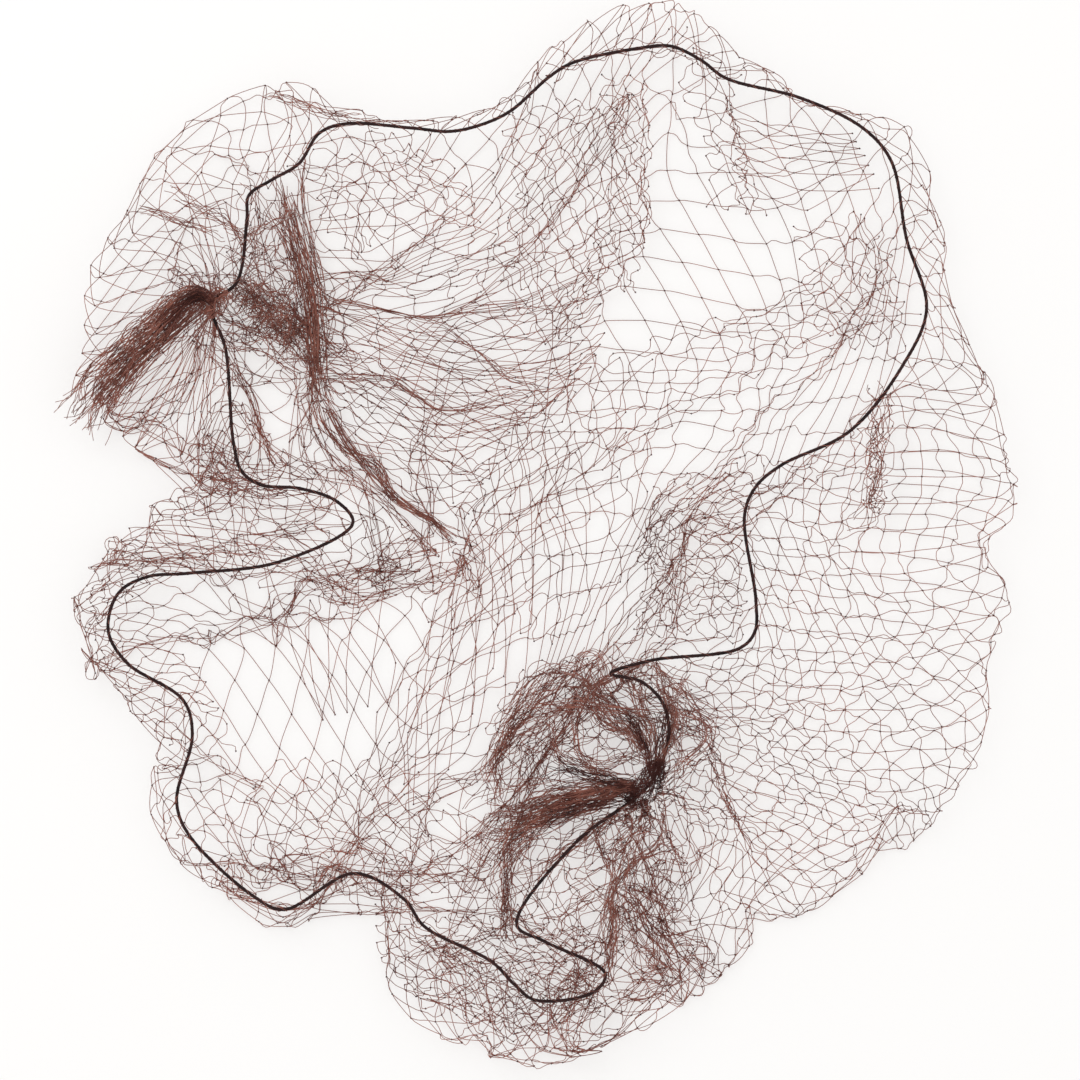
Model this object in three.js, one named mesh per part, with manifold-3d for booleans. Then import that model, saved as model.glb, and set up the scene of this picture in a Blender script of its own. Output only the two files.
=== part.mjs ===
// Hair net, laid out flat with its mouth up. Millimetres, +Z up, seen from above as it lies.
// A panel of knotted netting is gathered at both ends and hung by its long edges on one elastic loop.
// It lies as a shallow bag: a floor on the table, a fold all round, and a top layer back to the elastic.
import * as THREE from 'three';
import { mergeVertices } from 'three/addons/utils/BufferGeometryUtils.js';
import Module from 'manifold-3d';

const wasm = await Module();
wasm.setup();

// Driving dimensions
const CLOTH = 1.0;                 // thickness of the netting's solid walls
const GAP = 0.3;                   // air between pieces that touch on the real net
const ELASTIC_DIAMETER = 0.6;
const RIM_TOP = 6.0;               // upper face of the top layer, at the elastic
const FLOOR_BORDER = 1.6;          // solid edge round the pierced floor
const FLOOR_STEPS = 2;             // points of the floor's outline for each section
const FLOOR_MESH_LONG = 31;        // a floor diamond along the line between the two tied ends
const FLOOR_MESH_WIDE = 23;        // and across it
const FLOOR_BAR = 2.4;             // width of the floor's bars
const FLOOR_ROWS = 8;              // rows of half diamonds to either side of the middle
const FLOOR_LEAST_GAP = 90;        // area of the smallest part of a diamond that is cut at the outline
const CELL_PARTS = 4;              // small triangles along each half of a rim diamond
const RIM_BAR_SHARE = 1 / CELL_PARTS;  // how far a rim bar reaches from a diamond's edge to its centre
const RIM_TRIM = 0.06;             // how far a stretch of rim stops short of the next, in sections
const FOLD_WIDE = 1.3;             // how far the rim turns in from its outermost line to its foot
const SLOPE_STEP = 0.3;            // sections to either side that give the outline's direction
const WALL_STEP = 0.02;            // the same for the wall's own slope, in sections and in reach
const NARROW_LEVELS = 2;           // levels of a stretch whose top half diamonds stay solid
const ELASTIC_STEPS = 2;           // rings of the elastic for each section
const ELASTIC_SIDES = 6;
const BUNDLE_STEPS = 2;            // rings from one row of a bundle to the next
const BUNDLE_SIDES = 6;

// Sections round the mouth, clockwise from the left tie, a row for each.
// elasticX, elasticY: where the elastic passes; foldX, foldY: the outline's fold that belongs to it.
const SECTIONS = [
  [-53.1, 36.3, -77.1, 29.9],      // left tie
  [-49.1, 39.8, -76.0, 38.4],
  [-47.5, 49.9, -65.1, 52.0],
  [-47.2, 53.6, -63.5, 60.3],
  [-43.7, 56.0, -54.4, 67.5],
  [-39.2, 58.7, -43.2, 72.3],
  [-36.0, 63.5, -36.3, 69.8],
  [-32.0, 65.0, -32.0, 68.8],
  [-20.8, 64.3, -20.8, 66.4],
  [-15.2, 63.8, -15.2, 65.9],
  [-10.4, 64.8, -10.9, 66.9],
  [-5.6, 67.0, -6.9, 69.4],
  [0.8, 72.6, -0.8, 75.5],
  [4.3, 74.7, 2.4, 78.4],
  [15.2, 77.1, 13.6, 83.5],        // top lobe
  [20.0, 77.4, 21.9, 82.7],
  [24.8, 75.2, 26.7, 79.0],
  [28.8, 72.3, 30.7, 74.6],
  [40.8, 69.1, 42.1, 71.4],
  [50.7, 64.3, 57.6, 65.6],
  [55.2, 59.0, 62.1, 59.5],
  [57.6, 46.7, 62.9, 49.1],
  [60.8, 35.5, 63.5, 37.1],
  [56.8, 26.2, 69.0, 23.5],
  [48.5, 16.0, 73.6, 8.3],
  [37.6, 10.6, 77.2, -0.5],
  [33.6, 7.2, 76.0, -4.5],
  [31.8, 2.7, 74.4, -8.5],
  [33.6, -10.9, 72.1, -12.8],
  [33.4, -16.0, 71.2, -15.7],
  [30.9, -18.6, 70.1, -19.7],
  [16.8, -20.5, 69.4, -22.2],
  [10.4, -22.6, 69.2, -25.2],      // upper cusp by the right tie
  [15.2, -23.8, 70.1, -30.1],
  [18.7, -27.2, 67.2, -37.3],
  [19.7, -32.5, 63.4, -43.4],
  [16.8, -40.0, 57.6, -49.8],      // right tie
  [4.8, -49.6, 45.9, -57.0],
  [-4.5, -62.6, 35.2, -64.0],      // lower cusp
  [0.0, -65.3, 30.4, -66.9],
  [9.6, -70.4, 20.8, -75.2],       // finger of the elastic that points right
  [7.8, -73.3, 14.4, -78.4],
  [-1.6, -74.6, 2.4, -82.6],
  [-4.8, -72.2, -4.0, -83.6],
  [-8.5, -68.5, -10.4, -82.1],
  [-19.2, -62.9, -24.0, -74.9],
  [-22.4, -58.6, -26.7, -66.1],
  [-30.4, -54.4, -31.2, -57.3],
  [-41.6, -60.2, -41.9, -62.7],
  [-46.4, -58.1, -48.0, -60.8],
  [-56.8, -48.2, -59.2, -50.1],
  [-58.7, -42.9, -61.3, -42.9],
  [-56.2, -32.5, -61.9, -33.0],
  [-57.6, -26.9, -66.4, -28.2],
  [-66.7, -20.8, -69.9, -21.0],
  [-69.6, -15.7, -72.9, -14.2],    // lower left lobe
  [-68.0, -9.8, -74.1, -8.2],
  [-63.5, -7.2, -71.6, -2.8],
  [-56.8, -6.6, -64.8, 1.8],
  [-42.4, -4.8, -57.8, 5.8],
  [-30.6, 1.4, -55.3, 7.3],        // cusp inside the left notch
  [-33.1, 4.8, -54.8, 7.5],
  [-39.0, 6.9, -54.5, 7.7],
  [-45.3, 7.5, -54.2, 8.4],
  [-48.3, 9.6, -55.5, 9.3],
  [-49.6, 13.9, -59.7, 10.9],
  [-50.9, 29.1, -70.9, 17.0],
];

// The two tied ends, by section.
const LEFT_TIE = 0;
const RIGHT_TIE = 36;

// Stretches of the rim, each one piece of the pierced wall.
// from, to: sections; cells: mesh units along it; levels: mesh units from its foot to the elastic.
const RIM_STRETCHES = [
  { name: 'net_rim_left_lobe', from: -2, to: 5, cells: 4, levels: 4 },
  { name: 'net_rim_top_left', from: 5, to: 12, cells: 4, levels: 2 },
  { name: 'net_rim_top_lobe', from: 12, to: 18, cells: 4, levels: 2 },
  { name: 'net_rim_top_right', from: 18, to: 23, cells: 4, levels: 2 },
  { name: 'net_rim_right', from: 23, to: 28, cells: 4, levels: 4 },
  { name: 'net_rim_cusp', from: 28, to: 32, cells: 2, levels: 4 },
  { name: 'net_rim_lower_right', from: 32, to: 38, cells: 4, levels: 4 },
  { name: 'net_rim_bottom_right', from: 38, to: 42, cells: 4, levels: 2 },
  { name: 'net_rim_bottom', from: 42, to: 47, cells: 4, levels: 2 },
  { name: 'net_rim_bottom_left', from: 47, to: 53, cells: 4, levels: 2 },
  { name: 'net_rim_left', from: 53, to: 60, cells: 4, levels: 2 },
  { name: 'net_rim_notch', from: 60, to: 65, cells: 2, levels: 2 },
];

// Bundles where the netting is drawn together, a row for each place along one.
// x, y: centre; z: underside; wide, high: its section there.
const BUNDLES = [
  { name: 'gather_left', rows: [
    [-51.0, 38.3, 7.2, 2.2, 1.6],
    [-52.0, 37.2, 7.2, 3.6, 2.6],
    [-53.0, 36.0, 7.2, 3.6, 2.6],
    [-53.8, 34.8, 7.2, 2.2, 1.6],
  ] },
  { name: 'tuft_left', rows: [
    [-55.4, 38.5, 6.4, 2.6, 2.2],
    [-58.0, 36.4, 6.4, 5.0, 3.0],
    [-62.5, 32.0, 6.4, 6.0, 2.8],
    [-67.0, 27.0, 6.4, 7.0, 2.4],
    [-70.5, 22.6, 6.4, 9.0, 1.8],
    [-72.6, 19.6, 6.4, 8.0, 1.0],
  ] },
  { name: 'fold_left_rope', rows: [
    [-41.6, 54.0, 1.3, 2.0, 2.0],
    [-39.6, 47.0, 1.3, 3.4, 3.6],
    [-37.6, 39.0, 1.3, 3.6, 4.0],
    [-36.4, 31.0, 1.3, 3.2, 3.6],
    [-36.0, 24.6, 1.3, 2.2, 2.4],
  ] },
  { name: 'fold_left_crumple', rows: [
    [-49.0, 38.6, 1.3, 2.4, 3.0],
    [-46.6, 36.4, 1.3, 5.6, 4.2],
    [-43.4, 34.0, 1.3, 6.4, 4.4],
    [-40.6, 31.6, 1.3, 3.4, 3.2],
  ] },
  { name: 'fold_centre_rope', rows: [
    [-35.6, 21.6, 1.3, 1.4, 1.4],
    [-31.2, 13.4, 1.3, 1.8, 1.8],
    [-24.0, 5.4, 1.3, 1.8, 1.8],
    [-16.0, 0.4, 1.3, 1.3, 1.3],
  ] },
  { name: 'gather_right', rows: [
    [18.6, -36.6, 7.2, 2.6, 1.8],
    [17.4, -38.6, 7.2, 4.0, 3.2],
    [15.8, -41.0, 7.2, 4.6, 3.4],
    [13.4, -43.2, 7.2, 3.0, 2.0],
  ] },
  { name: 'tuft_right', rows: [
    [11.4, -40.8, 5.6, 2.4, 2.4],
    [8.0, -42.0, 4.2, 4.6, 3.4],
    [2.0, -43.6, 1.8, 6.2, 3.8],
    [-3.4, -45.4, 1.3, 4.4, 2.4],
  ] },
  { name: 'fold_right_fan', rows: [
    [15.4, -34.8, 5.4, 2.4, 2.4],
    [14.6, -32.2, 3.6, 4.6, 3.4],
    [11.6, -28.6, 1.3, 5.0, 3.4],
    [7.8, -25.6, 1.3, 2.6, 2.0],
  ] },
  { name: 'fold_right_curl', rows: [
    [-7.6, -41.6, 1.3, 2.0, 2.0],
    [-7.6, -35.4, 1.3, 3.0, 3.0],
    [-3.6, -29.0, 1.3, 3.2, 3.2],
    [1.4, -24.2, 1.3, 3.0, 3.0],
    [5.6, -21.4, 1.3, 2.0, 2.0],
  ] },
  { name: 'fold_lower_rope', rows: [
    [-5.6, -48.6, 1.3, 2.0, 2.0],
    [-6.6, -53.0, 1.3, 2.4, 2.4],
    [-6.4, -58.4, 1.3, 1.8, 1.8],
    [-7.0, -63.6, 1.3, 1.2, 1.2],
  ] },
  { name: 'fold_outer_rope', rows: [
    [15.4, -47.4, 6.4, 2.0, 1.6],
    [12.4, -52.4, 6.4, 3.4, 2.4],
    [11.2, -58.6, 6.4, 3.4, 2.2],
    [10.4, -65.6, 6.4, 2.0, 1.4],
  ] },
];

const colour = (hex, roughness) =>
  new THREE.MeshStandardMaterial({ color: hex, roughness, metalness: 0 });
const THREAD = () => colour(0x8a5a50, 0.6);
const BUNDLED_THREAD = () => colour(0x5e3430, 0.65);
const ELASTIC = () => colour(0x241617, 0.55);

const part = new THREE.Group();

function addPiece(name, geometry, material) {
  const mesh = new THREE.Mesh(geometry, material);
  mesh.name = name;
  part.add(mesh);
}

// A mesh from a list of triangles, each three Vector3.
function geometryOf(triangles) {
  const positions = new Float32Array(triangles.length * 9);
  triangles.flat().forEach((point, index) => point.toArray(positions, index * 3));
  const geometry = new THREE.BufferGeometry();
  geometry.setAttribute('position', new THREE.BufferAttribute(positions, 3));
  return geometry;
}

// Two triangles for a quad whose corners run anticlockwise seen from outside.
const quad = (a, b, c, d) => [[a, b, c], [a, c, d]];

// The two closed curves that everything follows, read by section number, whole or not.
const count = SECTIONS.length;
const closedCurve = (x, y) => new THREE.CatmullRomCurve3(
  SECTIONS.map((row) => new THREE.Vector3(row[x], row[y], 0)), true, 'centripetal');
const elasticCurve = closedCurve(0, 1);
const foldCurve = closedCurve(2, 3);
const share = (section) => ((section / count) % 1 + 1) % 1;
const elasticAt = (section) => elasticCurve.getPoint(share(section));
const foldAt = (section) => foldCurve.getPoint(share(section));

// Unit direction from the outline's fold into the net, square to the outline where it can be.
function inwardsAt(section) {
  const along = foldAt(section + SLOPE_STEP).sub(foldAt(section - SLOPE_STEP)).normalize();
  const square = new THREE.Vector3(along.y, -along.x, 0);
  const toElastic = elasticAt(section).sub(foldAt(section)).normalize();
  return square.add(toElastic).normalize();
}

// The middle of the rim's wall: reach 0 at its foot on the floor, 1 at the elastic.
// The fold is half an ellipse, lying on its side, and takes at least leastShare of the reach.
function rimMiddle(section, reach, leastShare) {
  const fold = foldAt(section);
  const inwards = inwardsAt(section);
  const elastic = elasticAt(section);
  const foot = CLOTH + GAP + CLOTH / 2;
  const foldHigh = (RIM_TOP - CLOTH / 2 - foot) / 2;
  const foldWide = Math.min(FOLD_WIDE, elastic.clone().sub(fold).dot(inwards) - CLOTH);
  const shoulder = fold.clone().addScaledVector(inwards, CLOTH / 2 + foldWide);
  const bend = Math.PI * (foldWide + foldHigh) / 2;
  const foldShare = Math.max(leastShare, bend / (bend + elastic.distanceTo(shoulder)));
  const turn = Math.min(1, reach / foldShare) * Math.PI - Math.PI / 2;
  const beyond = Math.max(0, reach - foldShare) / (1 - foldShare);
  return fold.addScaledVector(inwards, CLOTH / 2 + foldWide * (1 - Math.cos(turn)))
    .addScaledVector(elastic.sub(shoulder), beyond)
    .setZ(foot + foldHigh * (1 + Math.sin(turn)));
}

// A netting wall of small triangles in its own coordinates, column and level, cut through in diamonds.
// A diamond's centre has column + level odd. wallAt gives the outer and the inner skin's point.
// With solidTop the half diamonds at the top level stay uncut.
function nettingWall(wallAt, columns, levels, solidTop) {
  const skins = new Map();
  const skinsAt = (key) => {
    if (!skins.has(key)) skins.set(key, wallAt(...key.split(',').map((value) => value / CELL_PARTS)));
    return skins.get(key);
  };
  const cutAway = (corners) => {
    const [column, level] = [0, 1].map(
      (axis) => corners.reduce((sum, corner) => sum + corner[axis], 0) / corners.length / CELL_PARTS);
    const edge = 1 / CELL_PARTS;
    if (column < edge || column > columns - edge || level < edge || level > levels - edge) return false;
    const [low, left] = [Math.floor(level), Math.floor(column)];
    const centres = (left + low) % 2 !== 0 ? [[left, low], [left + 1, low + 1]] : [[left + 1, low], [left, low + 1]];
    return centres.some((centre) => !(solidTop && centre[1] === levels)
      && Math.abs(column - centre[0]) + Math.abs(level - centre[1]) < 1 - RIM_BAR_SHARE);
  };
  const kept = [];
  for (let i = 0; i < columns * CELL_PARTS; i += 1) {
    for (let j = 0; j < levels * CELL_PARTS; j += 1) {
      const [a, b, c, d] = [[i, j], [i, j + 1], [i + 1, j + 1], [i + 1, j]];
      const odd = (Math.floor(i / CELL_PARTS) + Math.floor(j / CELL_PARTS)) % 2 !== 0;
      const halves = odd ? [[a, b, d], [b, c, d]] : [[a, b, c], [a, c, d]];
      kept.push(...halves.filter((corners) => !cutAway(corners)).map((corners) => corners.map(String)));
    }
  }
  const sidesOf = (corners) => corners.map((corner, k) => [corner, corners[(k + 1) % 3]]);
  const sides = new Set(kept.flatMap(sidesOf).map(String));
  const triangles = [];
  kept.forEach((corners) => {
    const [a, b, c] = corners.map(skinsAt);
    triangles.push([a.outer, b.outer, c.outer], [c.inner, b.inner, a.inner]);
    sidesOf(corners).filter(([from, to]) => !sides.has(String([to, from]))).forEach(([from, to]) => {
      const [start, end] = [skinsAt(from), skinsAt(to)];
      triangles.push(...quad(end.outer, start.outer, start.inner, end.inner));
    });
  });
  return geometryOf(triangles);
}

// One stretch of the rim, with a small gap to the next.
function rimStretch({ from, to, cells, levels }) {
  const sectionOf = (column) => from + RIM_TRIM + (to - from - 2 * RIM_TRIM) * column / cells;
  const wallAt = (column, level) => {
    const section = sectionOf(column);
    const reach = level / levels;
    const middleAt = (aside, further) =>
      rimMiddle(section + aside, THREE.MathUtils.clamp(reach + further, 0, 1), 1 / levels);
    const middle = middleAt(0, 0);
    const along = middleAt(WALL_STEP, 0).sub(middleAt(-WALL_STEP, 0));
    const up = middleAt(0, WALL_STEP).sub(middleAt(0, -WALL_STEP));
    const normal = up.cross(along).normalize().multiplyScalar(CLOTH / 2);
    return { outer: middle.clone().add(normal), inner: middle.clone().sub(normal) };
  };
  return nettingWall(wallAt, cells, levels, levels === NARROW_LEVELS);
}

// A closed tube or a tapered bundle: rings of points round a spine that lies nearly level.
function sweep(rings, sides, closed) {
  const loops = rings.map(({ centre, wide, high }, i) => {
    const last = rings.length - 1;
    const before = rings[closed ? (i + last) % rings.length : Math.max(0, i - 1)].centre;
    const after = rings[closed ? (i + 1) % rings.length : Math.min(last, i + 1)].centre;
    const along = after.clone().sub(before).setZ(0).normalize();
    const across = new THREE.Vector3(along.y, -along.x, 0);
    return Array.from({ length: sides }, (_, k) => {
      const angle = (k + 0.5) * 2 * Math.PI / sides;
      return centre.clone().addScaledVector(across, Math.cos(angle) * wide / 2)
        .add(new THREE.Vector3(0, 0, Math.sin(angle) * high / 2));
    });
  });
  const triangles = [];
  const spans = closed ? loops.length : loops.length - 1;
  for (let i = 0; i < spans; i += 1) {
    const here = loops[i];
    const next = loops[(i + 1) % loops.length];
    for (let k = 0; k < sides; k += 1) {
      const l = (k + 1) % sides;
      triangles.push(...quad(here[k], next[k], next[l], here[l]));
    }
  }
  if (!closed) {
    const first = rings[0].centre;
    const end = rings[rings.length - 1].centre;
    for (let k = 0; k < sides; k += 1) {
      const l = (k + 1) % sides;
      triangles.push([first, loops[0][k], loops[0][l]]);
      triangles.push([end, loops[loops.length - 1][l], loops[loops.length - 1][k]]);
    }
  }
  return geometryOf(triangles);
}

// Floor: the outline's solid, pierced by a field of diamonds that run from tie to tie.
function netFloor() {
  const outlineAt = (inset) => Array.from({ length: count * FLOOR_STEPS }, (_, i) => {
    const section = i / FLOOR_STEPS;
    const fold = foldAt(section);
    const inwards = elasticAt(section).sub(fold);
    return fold.addScaledVector(inwards.clone().normalize(), Math.min(inset, inwards.length()));
  });
  const cutter = (outline) => solidOf(plate(outline, -CLOTH, 3 * CLOTH));
  const field = cutter(outlineAt(FLOOR_BORDER));
  const long = elasticAt(RIGHT_TIE).sub(elasticAt(LEFT_TIE)).normalize();
  const wide = new THREE.Vector3(-long.y, long.x, 0);
  const side = Math.hypot(FLOOR_MESH_LONG, FLOOR_MESH_WIDE);
  const shrink = 1 - FLOOR_BAR * side / (FLOOR_MESH_LONG * FLOOR_MESH_WIDE);
  let floor = solidOf(plate(outlineAt(0), 0, CLOTH));
  for (let row = -FLOOR_ROWS; row <= FLOOR_ROWS; row += 1) {
    for (let column = -FLOOR_ROWS; column <= FLOOR_ROWS; column += 1) {
      if ((row + column) % 2 === 0) continue;
      const centre = long.clone().multiplyScalar(column * FLOOR_MESH_LONG / 2)
        .addScaledVector(wide, row * FLOOR_MESH_WIDE / 2);
      const corners = [[1, 0], [0, 1], [-1, 0], [0, -1]].map(([a, b]) => centre.clone()
        .addScaledVector(long, a * shrink * FLOOR_MESH_LONG / 2)
        .addScaledVector(wide, b * shrink * FLOOR_MESH_WIDE / 2));
      const gap = cutter(corners).intersect(field);
      if (gap.volume() > FLOOR_LEAST_GAP * 3 * CLOTH) floor = floor.subtract(gap);
    }
  }
  return fromSolid(floor);
}

// A flat plate with the given outline, from height z up.
function plate(outline, z, thickness) {
  const shape = new THREE.Shape(outline.map((point) => new THREE.Vector2(point.x, point.y)));
  return new THREE.ExtrudeGeometry(shape, { depth: thickness, bevelEnabled: false }).translate(0, 0, z);
}

function solidOf(geometry) {
  const bare = geometry.clone();
  bare.deleteAttribute('normal');
  bare.deleteAttribute('uv');
  const merged = mergeVertices(bare, 1e-4);
  return new wasm.Manifold(new wasm.Mesh({
    numProp: 3,
    vertProperties: merged.attributes.position.array,
    triVerts: new Uint32Array(merged.index.array),
  }));
}

function fromSolid(solid) {
  const { vertProperties, triVerts } = solid.getMesh();
  const geometry = new THREE.BufferGeometry();
  geometry.setAttribute('position', new THREE.BufferAttribute(vertProperties, 3));
  geometry.setIndex(new THREE.BufferAttribute(triVerts, 1));
  return geometry;
}

// Elastic: it lies on the inner edge of the top layer, all the way round.
function elasticEdge() {
  const rings = Array.from({ length: count * ELASTIC_STEPS }, (_, i) => ({
    centre: elasticAt(i / ELASTIC_STEPS).setZ(RIM_TOP + GAP + ELASTIC_DIAMETER / 2),
    wide: ELASTIC_DIAMETER,
    high: ELASTIC_DIAMETER,
  }));
  return sweep(rings, ELASTIC_SIDES, true);
}

// A bundle's spine and its section run smoothly through its rows.
function bundle(rows) {
  const spine = new THREE.CatmullRomCurve3(
    rows.map(([x, y, z, , high]) => new THREE.Vector3(x, y, z + high / 2)), false, 'centripetal');
  const steps = (rows.length - 1) * BUNDLE_STEPS;
  const rings = Array.from({ length: steps + 1 }, (_, i) => {
    const place = i / BUNDLE_STEPS;
    const row = Math.min(Math.floor(place), rows.length - 2);
    const between = (column) => rows[row][column] + (rows[row + 1][column] - rows[row][column]) * (place - row);
    return { centre: spine.getPoint(i / steps), wide: between(3), high: between(4) };
  });
  return sweep(rings, BUNDLE_SIDES, false);
}

addPiece('net_floor', netFloor(), THREAD());
RIM_STRETCHES.forEach((stretch) => addPiece(stretch.name, rimStretch(stretch), THREAD()));
addPiece('elastic_edge', elasticEdge(), ELASTIC());
BUNDLES.forEach(({ name, rows }) => addPiece(name, bundle(rows), BUNDLED_THREAD()));

export default part;
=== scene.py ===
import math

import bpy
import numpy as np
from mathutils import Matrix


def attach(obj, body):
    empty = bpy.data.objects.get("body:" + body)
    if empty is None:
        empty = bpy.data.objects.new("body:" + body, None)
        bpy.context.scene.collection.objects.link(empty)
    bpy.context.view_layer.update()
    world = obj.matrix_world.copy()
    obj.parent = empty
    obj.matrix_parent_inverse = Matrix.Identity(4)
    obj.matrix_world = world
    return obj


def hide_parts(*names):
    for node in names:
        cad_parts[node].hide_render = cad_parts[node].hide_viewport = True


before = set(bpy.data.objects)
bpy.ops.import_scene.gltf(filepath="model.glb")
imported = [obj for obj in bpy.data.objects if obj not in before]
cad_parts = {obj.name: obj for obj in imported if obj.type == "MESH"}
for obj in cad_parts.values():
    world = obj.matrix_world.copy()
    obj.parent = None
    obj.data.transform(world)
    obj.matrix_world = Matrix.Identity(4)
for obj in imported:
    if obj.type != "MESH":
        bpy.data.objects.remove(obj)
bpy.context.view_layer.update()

# %% [markdown]
# A hair net, laid open on a table.
#
# The real thing is one panel of knotted netting, made of brown nylon thread hardly thicker than a
# hair. Both ends of the panel are gathered and tied, and its two long edges hang on one thin elastic
# loop. Laid down, it collapses into a flat bag with its mouth up.
#
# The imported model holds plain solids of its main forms. Here each of them is replaced by the netting,
# strands and cord that it stands for. Lengths in this script are millimetres until a mesh is made.

MM = 0.001

# %% [markdown]
# The camera comes first. The photo was taken from straight above, so a long lens high over the net
# keeps its outline free of perspective. The frame is square, and its side on the table sets the scale:
# the lens is worked out from that side, the camera's height and the sensor.

# %% The camera over the net
FRAME_SIDE = 172.8
FRAME_CENTRE = (-0.8, -1.3)
CAMERA_HEIGHT = 1600.0
SENSOR = 36.0
FARTHEST_SEEN = 10000.0

camera_data = bpy.data.cameras.new("camera_over_net")
camera_data.sensor_width = SENSOR
camera_data.lens = SENSOR * CAMERA_HEIGHT / FRAME_SIDE
camera_data.clip_end = FARTHEST_SEEN * MM
camera = bpy.data.objects.new("camera_over_net", camera_data)
camera.location = (FRAME_CENTRE[0] * MM, FRAME_CENTRE[1] * MM, CAMERA_HEIGHT * MM)
bpy.context.scene.collection.objects.link(camera)
bpy.context.scene.camera = camera
print("lens, mm:", round(camera_data.lens))

# %% [markdown]
# Light and table. The photo's light is so even that the threads throw almost no shadow, so the sky does
# most of the work, and one large soft lamp gives the cord and the thick strands a lit side. The table
# gives off a little light of its own, which washes out what is left of the shadows, as the overexposed
# photo does. The plain view transform keeps the table as white as it is.

# %% An even sky, a soft lamp and a pale table
SKY_STRENGTH = 0.95
LAMP_WATTS = 1.2
LAMP_WIDE = 500.0
LAMP_PLACE = (-350.0, 400.0, 600.0)
LAMP_TILT = (-34, -30, 0)
TABLE_SIDE = 3000.0
TABLE_COLOUR = (0.44, 0.435, 0.43, 1.0)
TABLE_ROUGHNESS = 0.9
GLOW_COLOUR = (1.0, 0.99, 0.98, 1.0)
GLOW_STRENGTH = 0.52

world = bpy.data.worlds.new("even_sky")
world.use_nodes = True
sky = world.node_tree.nodes["Background"]
sky.inputs["Color"].default_value = (1.0, 1.0, 1.0, 1.0)
sky.inputs["Strength"].default_value = SKY_STRENGTH
bpy.context.scene.world = world
bpy.context.scene.view_settings.view_transform = "Standard"

lamp_data = bpy.data.lights.new("soft_lamp", "AREA")
lamp_data.shape = "DISK"
lamp_data.size = LAMP_WIDE * MM
lamp_data.energy = LAMP_WATTS
lamp = bpy.data.objects.new("soft_lamp", lamp_data)
lamp.location = [value * MM for value in LAMP_PLACE]
lamp.rotation_euler = [math.radians(angle) for angle in LAMP_TILT]
bpy.context.scene.collection.objects.link(lamp)

table_mesh = bpy.data.meshes.new("table")
half_side = TABLE_SIDE / 2 * MM
table_mesh.from_pydata(
    [(-half_side, -half_side, 0), (half_side, -half_side, 0),
     (half_side, half_side, 0), (-half_side, half_side, 0)],
    [], [(0, 1, 2, 3)])
table = bpy.data.objects.new("table", table_mesh)
bpy.context.scene.collection.objects.link(table)
table_finish = bpy.data.materials.new("pale_table")
table_finish.use_nodes = True
table_surface = table_finish.node_tree.nodes["Principled BSDF"]
table_surface.inputs["Base Color"].default_value = TABLE_COLOUR
table_surface.inputs["Emission Color"].default_value = GLOW_COLOUR
table_surface.inputs["Emission Strength"].default_value = GLOW_STRENGTH
table_surface.inputs["Roughness"].default_value = TABLE_ROUGHNESS
table_mesh.materials.append(table_finish)
print("sky:", SKY_STRENGTH, " lamp, W:", LAMP_WATTS, " glow of the table:", GLOW_STRENGTH)

# %% [markdown]
# The elastic and the outline. Going round the mouth, each row below gives a point of the elastic and
# the point of the net's fold that lies outside it. The solids were made from the same rows, so whatever
# is built on these two closed curves sits where the solids are. The rows run from the left tie along
# the upper side to the right tie, and back along the lower side.

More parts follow.
